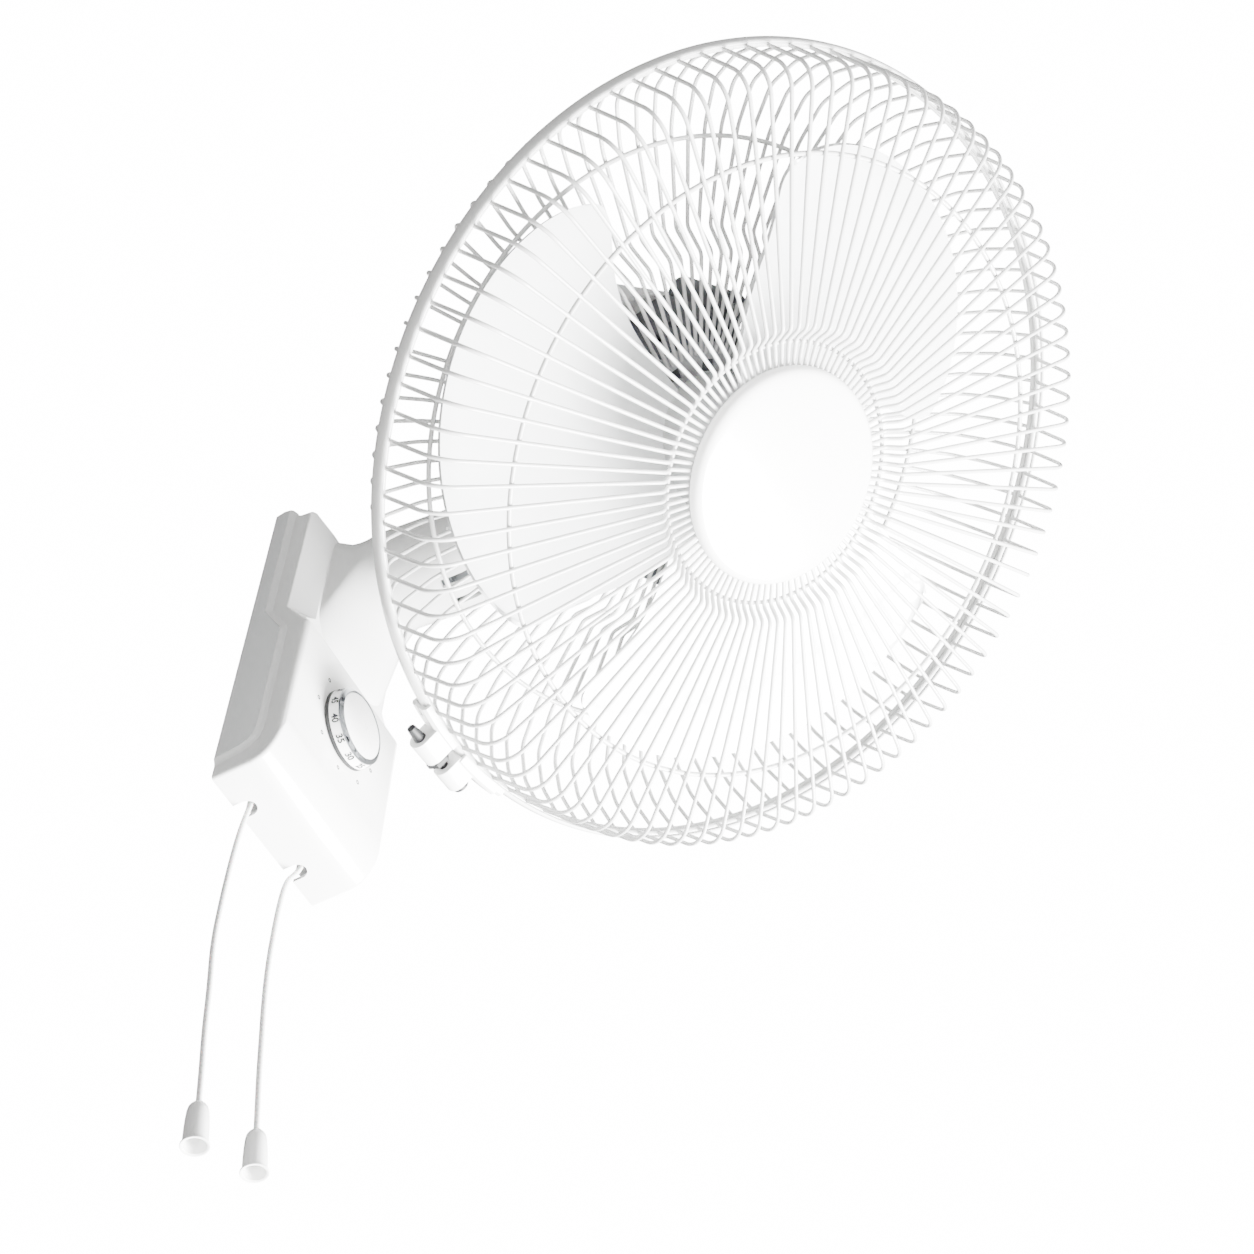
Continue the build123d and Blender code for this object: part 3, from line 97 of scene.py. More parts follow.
# ---- sizes and colours a user would change ------------------------------------------------
def length(name, description, default):
    """A size of the fan in millimetres."""
    return bpy.props.FloatProperty(name=name, description=description, default=default, min=0.1)


def tint(name, description, code):
    """A colour of the fan."""
    return bpy.props.FloatVectorProperty(name=name, description=description, subtype="COLOR", size=4,
                                         min=0, max=1, default=linear(code))


class FanSizes(bpy.types.PropertyGroup):
    knob_radius: length("Knob radius", "Radius of the timer knob in mm", 22.1)
    knob_height: length("Knob height", "Knob centre above the box's bottom edge in mm", 70.4)
    neck_radius: length("Neck radius", "Radius of the round part of the neck in mm", 29.0)
    hoop_radius: length("Hoop radius", "Outer radius of the hoop in mm", 222.0)
    cap_radius: length("Cap radius", "Radius of the hub cap in mm", 59.6)
    bell_length: length("Bell length", "Length of the pull at each cord's end in mm", 23.0)
    cord_width: length("Cord width", "Diameter of the pull cords in mm", 2.8)
    edge_round: length("Edge radius", "Rounding of the moulded box's edges in mm", 2.2)


class FanColours(bpy.types.PropertyGroup):
    cover: tint("Cover", "Moulded cover of the wall box", "#f1f1f0")
    shell: tint("Shell", "Moulded back of the wall box", "#e6e7e7")
    blades: tint("Blades", "Moulded blades", "#f3f4f4")
    enamel: tint("Enamel", "White enamel on the wires and the hoop", "#f2f2f1")
    grey: tint("Grey enamel", "Grey enamel on the steel plates", "#b9bbbd")
    black: tint("Black", "Black plastic of the clamp's screw, and the print on the dial", "#111214")


# ---- small helpers --------------------------------------------------------------------------
def sizes():
    return bpy.context.scene.fan_sizes


def colours():
    return bpy.context.scene.fan_colours


def start():
    """Back to object mode with nothing selected."""
    if bpy.context.object and bpy.context.object.mode != "OBJECT":
        bpy.ops.object.mode_set(mode="OBJECT")
    bpy.ops.object.select_all(action="DESELECT")


def hold(piece):
    """Select one piece alone and make it the active one."""
    start()
    piece.select_set(True)
    bpy.context.view_layer.objects.active = piece


def named(name):
    """The object that an operator has just added, under its own name."""
    piece = bpy.context.object
    piece.name = piece.data.name = name
    return piece


def outline(name, corners, closed=True):
    """A wire with these corners, or a face: a primitive circle whose corners are set in place."""
    start()
    bpy.ops.mesh.primitive_circle_add(vertices=len(corners), fill_type="NGON" if closed else "NOTHING")
    piece = named(name)
    for vertex, corner in zip(piece.data.vertices, corners):
        vertex.co = corner
    bpy.ops.object.mode_set(mode="EDIT")
    if not closed:
        ends = {0, len(corners) - 1}
        pick(piece, "EDGE", lambda e: {v.index for v in e.verts} == ends)
        bpy.ops.mesh.delete(type="EDGE")
        bpy.ops.mesh.select_all(action="SELECT")
    return piece


def pick(piece, kind, wanted):
    """Select the faces, edges or corners that are wanted, in edit mode."""
    bpy.ops.mesh.select_mode(type=kind)
    bpy.ops.mesh.select_all(action="DESELECT")
    mesh = bmesh.from_edit_mesh(piece.data)
    for part in {"VERT": mesh.verts, "EDGE": mesh.edges, "FACE": mesh.faces}[kind]:
        if wanted(part):
            part.select_set(True)
    mesh.select_flush_mode()
    bmesh.update_edit_mesh(piece.data)


def closed_up(inside=False):
    """Merge doubles and turn the faces outwards, in edit mode, and leave it."""
    bpy.ops.mesh.select_mode(type="VERT")
    bpy.ops.mesh.select_all(action="SELECT")
    bpy.ops.mesh.remove_doubles(threshold=0.002)
    bpy.ops.mesh.normals_make_consistent(inside=inside)
    bpy.ops.object.mode_set(mode="OBJECT")


def drawn_out(name, corners, way):
    """A face drawn out into a solid."""
    piece = outline(name, corners)
    bpy.ops.mesh.extrude_region_move(TRANSFORM_OT_translate={"value": way})
    closed_up()
    return piece


def turned(name, profile, steps=96, angle=2 * pi, begin=0.0):
    """A shape turned about Z from a profile of (radius, height)."""
    along = [(r * cos(begin), r * sin(begin), h) for r, h in profile]
    piece = outline(name, along, closed=False)
    bpy.ops.mesh.spin(steps=steps, angle=angle, center=(0, 0, 0), axis=(0, 0, 1))
    closed_up()
    return piece


def skinned(name, rings, capped=True):
    """A skin through rings of corners, each extruded from the one before."""
    piece = outline(name, rings[0])
    if not capped:
        bpy.ops.mesh.delete(type="ONLY_FACE")
        bpy.ops.mesh.select_all(action="SELECT")
    for before, after in zip(rings, rings[1:]):
        bpy.ops.mesh.select_mode(type="VERT")
        bpy.ops.mesh.extrude_region_move(TRANSFORM_OT_translate={"value": (0, 0, 0)})
        mesh = bmesh.from_edit_mesh(piece.data)
        pairs = [(Vector(corner), to) for corner, to in zip(before, after)]
        for vertex in mesh.verts:
            if vertex.select:
                vertex.co = min(pairs, key=lambda pair: (pair[0] - vertex.co).length_squared)[1]
        bmesh.update_edit_mesh(piece.data)
    closed_up()
    return piece


def modified(piece, kind, **settings):
    """Add a modifier and apply it."""
    hold(piece)
    modifier = piece.modifiers.new(kind.title(), kind)
    for key, value in settings.items():
        setattr(modifier, key, value)
    bpy.ops.object.modifier_apply(modifier=modifier.name)
    return piece


def cut(piece, tool, operation="DIFFERENCE"):
    """Cut one piece with another, or join them, and throw the tool away."""
    for part in (tool, piece):
        modified(part, "TRIANGULATE")
    modified(piece, "BOOLEAN", object=tool, operation=operation, solver="EXACT")
    bpy.data.objects.remove(tool)
    # a sliver left by one cut would spoil the next
    bpy.ops.object.mode_set(mode="EDIT")
    bpy.ops.mesh.select_all(action="SELECT")
    bpy.ops.mesh.remove_doubles(threshold=SLIVER)
    bpy.ops.mesh.dissolve_degenerate(threshold=SLIVER)
    bpy.ops.object.mode_set(mode="OBJECT")
    return piece


def rounded(piece, width, segments=3, angle=30):
    """Round every edge sharper than an angle."""
    return modified(piece, "BEVEL", width=width, segments=segments, limit_method="ANGLE",
                    angle_limit=radians(angle), harden_normals=False)


def settled(piece, place, body, slot, smooth=30):
    """Apply the piece's place to its mesh, shade it, paint it and let it ride on its body."""
    hold(piece)
    piece.matrix_world = place
    bpy.ops.object.transform_apply(location=True, rotation=True, scale=True)
    bpy.ops.object.shade_smooth_by_angle(angle=radians(smooth))
    piece.data.materials.clear()
    piece.data.materials.append(finish(slot))
    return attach(piece, body)


def copied(node, name):
    """A closed copy of a CAD node's mesh, in its own place, to be finished further."""
    start()
    piece = bpy.data.objects.new(name, frame["nodes"][node].data.copy())
    bpy.context.scene.collection.objects.link(piece)
    hold(piece)
    bpy.ops.object.mode_set(mode="EDIT")
    bpy.ops.mesh.select_mode(type="VERT")
    bpy.ops.mesh.select_all(action="SELECT")
    bpy.ops.mesh.remove_doubles(threshold=1e-6)
    bpy.ops.mesh.dissolve_limited(angle_limit=radians(1.0))
    bpy.ops.object.mode_set(mode="OBJECT")
    return piece


def softened(node, name, width, angle=35, smooth=35, segments=2):
    """A copy of a CAD node with its edges eased, which stands for it."""
    piece = rounded(copied(node, name), width * MM, segments, angle)
    record = next(s for s in frame["record"]["subparts"] if s["node"] == node)
    settled(piece, Matrix.Identity(4), body_of(node), record["material_slot"], smooth)
    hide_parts(node)
    return piece


def body_of(node):
    return frame["nodes"][node]["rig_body"]


# ---- finishes ---------------------------------------------------------------------------------
def add(tree, kind, settings=(), **inputs):
    """Add a node with its settings, its values and its links."""
    made = tree.nodes.new("ShaderNode" + kind)
    for key, value in dict(settings).items():
        setattr(made, key, value)
    for key, value in inputs.items():
        socket = made.inputs[int(key[1:])] if key[0] == "_" else made.inputs[key.replace("_", " ")]
        if isinstance(value, bpy.types.NodeSocket):
            tree.links.new(value, socket)
        else:
            socket.default_value = value
    return made


def blank(name):
    """A material with nothing in it yet."""
    material = bpy.data.materials.new(name)
    material.use_nodes = True
    material.node_tree.nodes.clear()
    return material, material.node_tree


def per_mm(size):
    """The scale that makes a pattern of metres repeat at this size in millimetres."""
    return 1 / (size * MM)


def shaded(tree, low, high, share):
    """A colour between two near shades, by a share from 0 to 1."""
    mix = add(tree, "Mix", {"data_type": "RGBA"}, Factor=share)
    colour = [s for s in mix.inputs if s.name in "AB" and s.type == "RGBA"]
    colour[0].default_value = low
    colour[1].default_value = high
    return [s for s in mix.outputs if s.type == "RGBA"][0]


def darker(colour, share):
    """The same colour, this much darker."""
    return [c * (1 - share) for c in colour[:3]] + [1.0]


def moulded(name, colour, roughness, peel=4.0, depth=0.03, ior=1.53, coat=0.0, clear=0.0):
    """Injection moulded plastic: a skin as smooth as its tool, with a slow wave where it shrank
    as it cooled, a faint change of shade along the flow, and a little dust in the gloss."""
    material, tree = blank(name)
    where = add(tree, "TexCoord").outputs["Object"]
    flow = add(tree, "TexNoise", Vector=where, Scale=per_mm(55), Detail=2.0, Roughness=0.4)
    shade = shaded(tree, darker(colour, 0.035), colour, flow.outputs["Fac"])
    wave = add(tree, "TexNoise", Vector=where, Scale=per_mm(peel), Detail=1.0, Roughness=0.3)
    skin = add(tree, "Bump", Height=wave.outputs["Fac"], Strength=0.25, Distance=depth * MM)
    dust = add(tree, "TexNoise", Vector=where, Scale=per_mm(14), Detail=5.0, Roughness=0.65)
    gloss = add(tree, "MapRange", Value=dust.outputs["Fac"], To_Min=roughness * 0.85,
                To_Max=roughness * 1.25)
    shader = add(tree, "BsdfPrincipled", Base_Color=shade, Roughness=gloss.outputs["Result"], IOR=ior,
                 Normal=skin.outputs["Normal"], Coat_Weight=coat, Coat_Roughness=0.08,
                 Subsurface_Weight=clear, Subsurface_Scale=0.002)
    add(tree, "OutputMaterial", Surface=shader.outputs["BSDF"])
    return material


def enamelled(name, colour, roughness, peel=1.6, depth=0.02):
    """Sprayed and stoved enamel on steel: it pulls into an even, slightly pebbled gloss, thinner
    and a touch darker where it drew away, with stray specks of overspray in the shine."""
    material, tree = blank(name)
    where = add(tree, "TexCoord").outputs["Object"]
    cover = add(tree, "TexNoise", Vector=where, Scale=per_mm(30), Detail=3.0, Roughness=0.5)
    shade = shaded(tree, darker(colour, 0.06), colour, cover.outputs["Fac"])
    pebble = add(tree, "TexNoise", Vector=where, Scale=per_mm(peel), Detail=1.5, Roughness=0.4)
    skin = add(tree, "Bump", Height=pebble.outputs["Fac"], Strength=0.3, Distance=depth * MM)
    specks = add(tree, "TexVoronoi", Vector=where, Scale=per_mm(2.2))
    gloss = add(tree, "MapRange", Value=specks.outputs["Distance"], To_Min=roughness * 1.3,
                To_Max=roughness * 0.85)
    shader = add(tree, "BsdfPrincipled", Base_Color=shade, Roughness=gloss.outputs["Result"], IOR=1.5,
                 Normal=skin.outputs["Normal"], Coat_Weight=0.25, Coat_Roughness=0.1)
    add(tree, "OutputMaterial", Surface=shader.outputs["BSDF"])
    return material


def plated(name, low, high, roughness, grain):
    """Plated steel: cloudy crystals of two shades that meet at soft borders."""
    material, tree = blank(name)
    where = add(tree, "TexCoord").outputs["Object"]
    crystal = add(tree, "TexVoronoi", Vector=where, Scale=per_mm(grain))
    cloud = add(tree, "TexNoise", Vector=where, Scale=per_mm(grain * 0.6), Detail=4.0, Roughness=0.6)
    share = add(tree, "Math", {"operation": "MULTIPLY_ADD"}, _0=crystal.outputs["Distance"], _1=0.6,
                _2=cloud.outputs["Fac"])
    clouding = add(tree, "MapRange", Value=share.outputs["Value"], From_Min=0.35, From_Max=0.95)
    shade = shaded(tree, linear(low), linear(high), clouding.outputs["Result"])
    gloss = add(tree, "MapRange", Value=cloud.outputs["Fac"], To_Min=roughness * 0.8,
                To_Max=roughness * 1.3)
    skin = add(tree, "Bump", Height=cloud.outputs["Fac"], Strength=0.15, Distance=0.02 * MM)
    shader = add(tree, "BsdfPrincipled", Base_Color=shade, Metallic=1.0, Roughness=gloss.outputs["Result"],
                 Normal=skin.outputs["Normal"])
    add(tree, "OutputMaterial", Surface=shader.outputs["BSDF"])
    return material


def cast(name, low, high):
    """Die cast aluminium, tumbled: a sandy skin of 0.5 mm grit under a dull grey oxide, between two shades
    that for the motor are partly painted shade.
    """
    material, tree = blank(name)
    where = add(tree, "TexCoord").outputs["Object"]
    grit = add(tree, "TexNoise", Vector=where, Scale=per_mm(1.2), Detail=6.0, Roughness=0.7)
    oxide = add(tree, "TexNoise", Vector=where, Scale=per_mm(25), Detail=4.0, Roughness=0.6)
    shade = shaded(tree, linear(low), linear(high), oxide.outputs["Fac"])
    gloss = add(tree, "MapRange", Value=grit.outputs["Fac"], To_Min=0.38, To_Max=0.6)
    skin = add(tree, "Bump", Height=grit.outputs["Fac"], Strength=0.35, Distance=0.15 * MM)
    shader = add(tree, "BsdfPrincipled", Base_Color=shade, Metallic=0.55, Roughness=gloss.outputs["Result"],
                 Normal=skin.outputs["Normal"])
    add(tree, "OutputMaterial", Surface=shader.outputs["BSDF"])
    return material


def striped(name, low, high, roughness, pitch, metallic, depth, tilt=0.0):
    """Steel with fine parallel lines: the edges of punched sheets, the turns of a winding or the
    marks of a lathe, a pitch apart."""
    material, tree = blank(name)
    where = add(tree, "TexCoord").outputs["Object"]
    turned_to = add(tree, "Mapping", Vector=where, Rotation=(tilt, 0, 0))
    lines = add(tree, "TexWave", {"bands_direction": "Z"}, Vector=turned_to.outputs["Vector"],
                Scale=per_mm(pitch) / 20, Distortion=0.6, Detail=2.0)
    grime = add(tree, "TexNoise", Vector=where, Scale=per_mm(8), Detail=4.0)
    share = add(tree, "Math", {"operation": "MULTIPLY"}, _0=lines.outputs["Fac"], _1=grime.outputs["Fac"])
    shade = shaded(tree, linear(low), linear(high), share.outputs["Value"])
    skin = add(tree, "Bump", Height=lines.outputs["Fac"], Strength=0.4, Distance=depth * MM)
    shader = add(tree, "BsdfPrincipled", Base_Color=shade, Metallic=metallic, Roughness=roughness,
                 Normal=skin.outputs["Normal"])
    add(tree, "OutputMaterial", Surface=shader.outputs["BSDF"])
    return material


def sintered(name):
    """Oil-filled sintered bronze: warm metal with dark pores of about 0.3 mm."""
    material, tree = blank(name)
    where = add(tree, "TexCoord").outputs["Object"]
    pores = add(tree, "TexVoronoi", Vector=where, Scale=per_mm(0.9))
    shade = shaded(tree, linear("#5d4523"), linear("#b08a4a"), pores.outputs["Distance"])
    skin = add(tree, "Bump", Height=pores.outputs["Distance"], Strength=0.4, Distance=0.05 * MM)
    shader = add(tree, "BsdfPrincipled", Base_Color=shade, Metallic=1.0, Roughness=0.42,
                 Normal=skin.outputs["Normal"])
    add(tree, "OutputMaterial", Surface=shader.outputs["BSDF"])
    return material


def chromed(name):
    """Bright chrome plate: a mirror, a little hazy where it has been wiped."""
    material, tree = blank(name)
    where = add(tree, "TexCoord").outputs["Object"]
    haze = add(tree, "TexNoise", Vector=where, Scale=per_mm(5), Detail=5.0, Roughness=0.7)
    gloss = add(tree, "MapRange", Value=haze.outputs["Fac"], To_Min=0.06, To_Max=0.16)
    shade = shaded(tree, linear("#8f9296"), linear("#a7aaad"), haze.outputs["Fac"])
    shader = add(tree, "BsdfPrincipled", Base_Color=shade, Metallic=1.0, Roughness=gloss.outputs["Result"])
    add(tree, "OutputMaterial", Surface=shader.outputs["BSDF"])
    return material


def braided(name):
    """White nylon pull cord, braided over a core: small slanting plaits along the cord. They are
    drawn 1.4 mm long, coarser than the real braid, so that they show."""
    material, tree = blank(name)
    where = add(tree, "TexCoord").outputs["UV"]
    along = add(tree, "Mapping", Vector=where, Scale=(150, 4, 1))
    plaits = add(tree, "TexChecker", Vector=along.outputs["Vector"], Scale=1.0)
    over = add(tree, "TexWave", {"bands_direction": "DIAGONAL"}, Vector=along.outputs["Vector"], Scale=0.55)
    height = add(tree, "Math", {"operation": "MULTIPLY_ADD"}, _0=over.outputs["Fac"], _1=0.7,
                 _2=plaits.outputs["Fac"])
    shade = shaded(tree, linear("#dcdedd"), linear("#f1f1ef"), height.outputs["Value"])
    skin = add(tree, "Bump", Height=height.outputs["Value"], Strength=0.35, Distance=0.12 * MM)
    shader = add(tree, "BsdfPrincipled", Base_Color=shade, Roughness=0.5, IOR=1.53,
                 Normal=skin.outputs["Normal"], Sheen_Weight=0.15, Subsurface_Weight=0.1,
                 Subsurface_Scale=0.001)
    add(tree, "OutputMaterial", Surface=shader.outputs["BSDF"])
    return material


def make_finishes():
    """Every finish of the fan, by the material slot that it belongs to."""
    c = colours()
    return {
        "white_plastic": moulded("ABS, moulded glossy", c.cover, 0.2, coat=0.3),
        "shell_plastic": moulded("ABS, moulded satin", c.shell, 0.34),
        "sleeve_plastic": moulded("Polypropylene, moulded", c.cover, 0.27, ior=1.49),
        "blade_plastic": moulded("SAN, moulded polished", c.blades, 0.14, peel=9, ior=1.57, coat=0.4),
        # the white enamel is darkened, most on the wires and less on the hoop: painted shade that stands in
        # for their shaded sides
        "white_enamel": enamelled("Enamel, dipped on wire", darker(c.enamel, 0.3), 0.22),
        "hoop_enamel": enamelled("Enamel, stoved on hoop", darker(c.enamel, 0.12), 0.2),
        "grey_enamel": enamelled("Enamel, grey on steel", c.grey, 0.36, depth=0.05),
        # the casting's greys are partly its own colour and partly painted shade, darkened for the shade it
        # lies in behind the blades and the guard
        "motor_casting": cast("Aluminium, die cast", "#5c5f62", "#7a7d80"),
        "galvanised_steel": plated("Steel, hot galvanised", "#8b9092", "#c3c7c9", 0.42, 9.0),
        "zinc_steel": plated("Steel, zinc plated", "#a2a4a3", "#cfd1d0", 0.28, 2.5),
        "bright_steel": striped("Steel, turned bright", "#9b9da0", "#cfd1d3", 0.22, 0.5, 1.0, 0.01, TILT),
        "core_steel": striped("Steel, stacked sheets", "#3c3d40", "#77797c", 0.5, 0.5, 0.8, 0.08, TILT),
        "copper_winding": striped("Copper, enamelled winding", "#5a2414", "#b9673a", 0.32, 0.8, 0.7, 0.3),
        "bronze": sintered("Bronze, sintered"),
        "black_plastic": moulded("Nylon, black moulded", c.black, 0.55),
        "natural_nylon": moulded("Nylon, natural moulded", linear("#e4e0d2"), 0.35, clear=0.2),
        "cord_white": braided("Nylon, braided cord"),
        "chrome_trim": chromed("Chrome plate"),
    }


class FAN_OT_finishes(bpy.types.Operator):
    """Make the finishes and paint every CAD node with the one of its material slot"""
    bl_idname = "fan.finishes"
    bl_label = "Finishes"

    def execute(self, context):
        made = make_finishes()
        for slot, material in made.items():
            material["fan_slot"] = slot
        for row in frame["record"]["subparts"]:
            node = frame["nodes"][row["node"]]
            node.data.materials.clear()
            node.data.materials.append(made[row["material_slot"]])
        return {"FINISHED"}


def finish(slot):
    """The finish of a material slot."""
    return next(m for m in bpy.data.materials if m.get("fan_slot") == slot)


# ---- wall box ---------------------------------------------------------------------------------
HALF_BOX = 51.0        # half the width of the cover
BOX_H = 214.4          # top edge of the box
FRONT_Y = -37.6        # flat face on the room side
CORNER = 4.0           # rounding of that face's two long edges
MIDDLE_Y = -32.2       # middle of the upper face, between the slanted flanks
MIDDLE_HALF = 35.75
WALL = 2.0             # the cover's wall
NECK_WALL = 2.5
FLARE = 1.8            # how far the cover's edge flares out over the flush back shell
FLARE_WIDTH = 4.2      # how wide the flare is, measured in from the edge
# the edge of the cover along its side, as (y, z), and all that lies behind it
LIP = [(2, 12.6), (-13.6, 17.4), (-17.6, 19.6), (-20.4, 22.8), (-21.7, 27), (-22, 32), (-22, 103.5),
       (-21.4, 106), (-9.8, 122.4), (-9, 125), (-9, BOX_H + 3), (2, BOX_H + 3)]


def drawn_in(points, wall):
    """A side outline that runs up the room side, moved toward its inside by a wall."""
    moved = []
    for k, (y, z) in enumerate(points):
        before, after = points[max(k - 1, 0)], points[min(k + 1, len(points) - 1)]
        dy, dz = after[0] - before[0], after[1] - before[1]
        share = wall / hypot(dy, dz)
        moved.append((min(y + dz * share, max(y, 0)), z - dy * share))
    return moved


def box_rings(grow):
    """Rings up the box that give it its rounded front edges and, higher up, its slanted flanks,
    from the bottom to the top. The inside is drawn with a negative grow."""
    side = HALF_BOX + grow
    front = [(side - CORNER + CORNER * cos(radians(a)), FRONT_Y + CORNER - grow - CORNER * sin(radians(a)))
             for a in range(0, 91, 15)]
    # low down the middle lies beyond the flat face, which the side outline cuts
    beyond = FRONT_Y - 1.4
    levels = [(-3, front, beyond), (107.8, front, beyond)]
    for z, edge in ((124.7, -21.2), (218, -22.6)):
        slope = (MIDDLE_Y - edge) / (side - MIDDLE_HALF)
        fold = [(side, 0.9), (side - 0.08, 0.45), (side - 0.3, 0.1), (side - 0.7, 0.0), (side - 1.2, 0.0),
                (side - 3, 0.0), (side - 6, 0.0)]
        levels.append((z, [(x, edge - grow + slope * (side - x) + out) for x, out in fold], MIDDLE_Y))
    rings = []
    for z, edge, middle in levels:
        half = [(side, 3)] + edge + [(MIDDLE_HALF, middle - grow)]
        rings.append([(-x, y, z) for x, y in half] + [(x, y, z) for x, y in reversed(half)])
    return rings


def box_side():
    """Side outline of the box, (y, z), with its big soft corner low on the room side."""
    begin, middle, end = Vector((-21.5, 4.5)), Vector((FRONT_Y, 7.7)), Vector((FRONT_Y, 38))
    corner = []
    for k in range(11):
        t = k / 10
        corner.append(tuple((1 - t) ** 2 * begin + 2 * t * (1 - t) * middle + t * t * end))
    outline = [(0, 0.8)] + corner + [(FRONT_Y, 108), (-31.4, 117), (-31.4, 198), (-24.5, 208.8),
                                     (-15.8, 209.2), (-14, 210.3), (-10.6, 213.9), (-5, BOX_H), (0, 212.2)]
    return outline


def side_solid(name, points, half):
    """A solid across X from an outline of (y, z)."""
    return drawn_out(name, [(-half, y, z) for y, z in points], (2 * half, 0, 0))


def box_form(name, inset):
    """The closed form of the box, or of its inside, which runs out through the back."""
    half, soft = HALF_BOX - 0.8 * inset, sizes().edge_round
    outline = box_side()
    if inset:
        outline = [(3, outline[0][1])] + outline + [(3, outline[-1][1])]
    slices = [(half - soft + soft * sin(radians(a)), inset + soft - soft * cos(radians(a)))
              for a in ((0, 20, 40, 60, 75, 90) if not inset else (0, 90))]
    across = [(-x, wall) for x, wall in reversed(slices)] + slices
    form = skinned(name, [[(x, y, z) for y, z in drawn_in(outline, wall)] for x, wall in across])
    return cut(form, skinned("flanks", box_rings(-inset)), "INTERSECT")


def cover_flare(side):
    """The edge of the cover on one side, coved outwards to its lip."""
    rings = [(HALF_BOX - 0.6, FLARE_WIDTH + 0.6)]
    for t in (0.2, 0.4, 0.6, 0.8, 1.0):
        rings.append((HALF_BOX + FLARE * t ** 1.8, FLARE_WIDTH * (1 - t)))
    corners = [[(side * x, y, z) for y, z in drawn_in(LIP, -reach)] for x, reach in rings]
    return skinned("flare", corners)


def neck_ring(y, width, height, middle, corner):
    """A rounded section of the neck, 64 corners, from the middle of its bottom."""
    w, h = width / 2, height / 2
    c = min(corner, w - 0.5, h - 0.5)
    ring = []
    for across, up, turn in ((w - c, -h + c, -90), (w - c, h - c, 0), (-w + c, h - c, 90),
                             (-w + c, -h + c, 180)):
        for k in range(16):
            a = radians(turn + 90 * k / 15)
            ring.append((across + c * cos(a), y, middle + up + c * sin(a)))
    return ring


def neck_skin():
    """The neck, flared where it grows out of the box, hollow, with its slots and its notch."""
    r = sizes().neck_radius
    # each is y, width, height, middle height and corner radius
    sections = [(-29.5, 71.5, 87, 159.5, 14), (-33.5, 69.8, 82.5, 163, 19), (-38, 66, 76, 168, 24),
                (-42, 63, 70, 174.5, 27), (-46, 60.8, 65, 180.5, 29), (-50.5, 59, 61, 185.6, 29),
                (-55, 2 * r, 2 * r + 0.6, 188.4, r), (-75, 2 * r, 2 * r, 189, r),
                (-95, 2 * r, 2 * r, 189, r),
                (-102, 2 * r - 1.2, 2 * r - 1.2, 189.2, r), (-108, 2 * r - 3.4, 2 * r - 3.4, 189.6, r),
                (-112, 2 * r - 6, 2 * r - 6, 190.2, r), (-114, 2 * r - 8, 2 * r - 8, 190.5, r)]
    neck = skinned("neck", [neck_ring(*s) for s in sections], capped=False)
    hold(neck)
    bpy.ops.object.mode_set(mode="EDIT")
    bpy.ops.mesh.select_all(action="SELECT")
    bpy.ops.mesh.normals_make_consistent(inside=False)
    bpy.ops.object.mode_set(mode="OBJECT")
    modified(neck, "SOLIDIFY", thickness=NECK_WALL, offset=-1, use_even_offset=True)
    cut(neck, drawn_out("notch", [(-17, -120, 193), (17, -120, 193), (17, -120, 232), (-17, -120, 232)],
                        (0, 22, 0)))
    for x in (-7, 7):
        cut(neck, drawn_out("slot", [(x - 2.5, -105, 158), (x + 2.5, -105, 158), (x + 2.5, -88, 158),
                                     (x - 2.5, -88, 158)], (0, 0, 12)))
    for x in (-27, 27):
        cut(neck, drawn_out("recess", [(x - 4, -103.5, 178), (x + 4, -103.5, 178), (x + 4, -99.5, 178),
                                       (x - 4, -99.5, 178)], (0, 0, 4)))
    return neck


class FAN_OT_wall_box(bpy.types.Operator):
    """Mould the cover of the wall box with its rolled rim, and the neck that grows out of it"""
    bl_idname = "fan.wall_box"
    bl_label = "Wall box"

    def execute(self, context):
        cover = box_form("box_cover", 0)
        for side in (-1, 1):
            cut(cover, cover_flare(side), "UNION")
        cut(cover, side_solid("within", drawn_in(box_side(), -0.05), 60), "INTERSECT")
        cut(cover, box_form("inside", WALL))
        cut(cover, side_solid("behind", LIP, 60))
        for x in (-25, 25):
            slot = [(x + 5 * cos(radians(a)), -5.5 - 5 * sin(radians(a)), -5) for a in range(0, 181, 15)]
            slot += [(x - 5, 6, -5), (x + 5, 6, -5)]
            cut(cover, drawn_out("cord_slot", slot, (0, 0, 20)))
        cut(cover, neck_skin(), "UNION")
        settled(cover, BOX, "base", "white_plastic", 24)
        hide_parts("front_cover")
        softened("rear_shell", "box_back", 0.6, 35, 30, 3)
        return {"FINISHED"}


# ---- dial ---------------------------------------------------------------------------------------
KNOB_GAP = 0.3         # between the knob's back and the box
MARK_RING = 28.2       # radius of the ring of marks on the box


def facing_room(height):
    """The place of a piece turned about Z so that it faces the room at the knob."""
    return BOX @ Matrix.Translation((0, height, sizes().knob_height)) @ Matrix.Rotation(pi / 2, 4, "X")


def print_text(name, words, size, place, body):
    """A number printed on the dial, as a thin flat mesh."""
    start()
    bpy.ops.object.text_add()
    piece = bpy.context.object
    piece.data.body = words
    piece.data.size = size
    piece.data.align_x = "CENTER"
    piece.data.align_y = "CENTER"
    piece.data.extrude = 0.04
    piece.data.offset = 0.13
    bpy.ops.object.convert(target="MESH")
    piece = named(name)
    return settled(piece, place, body, "black_plastic")


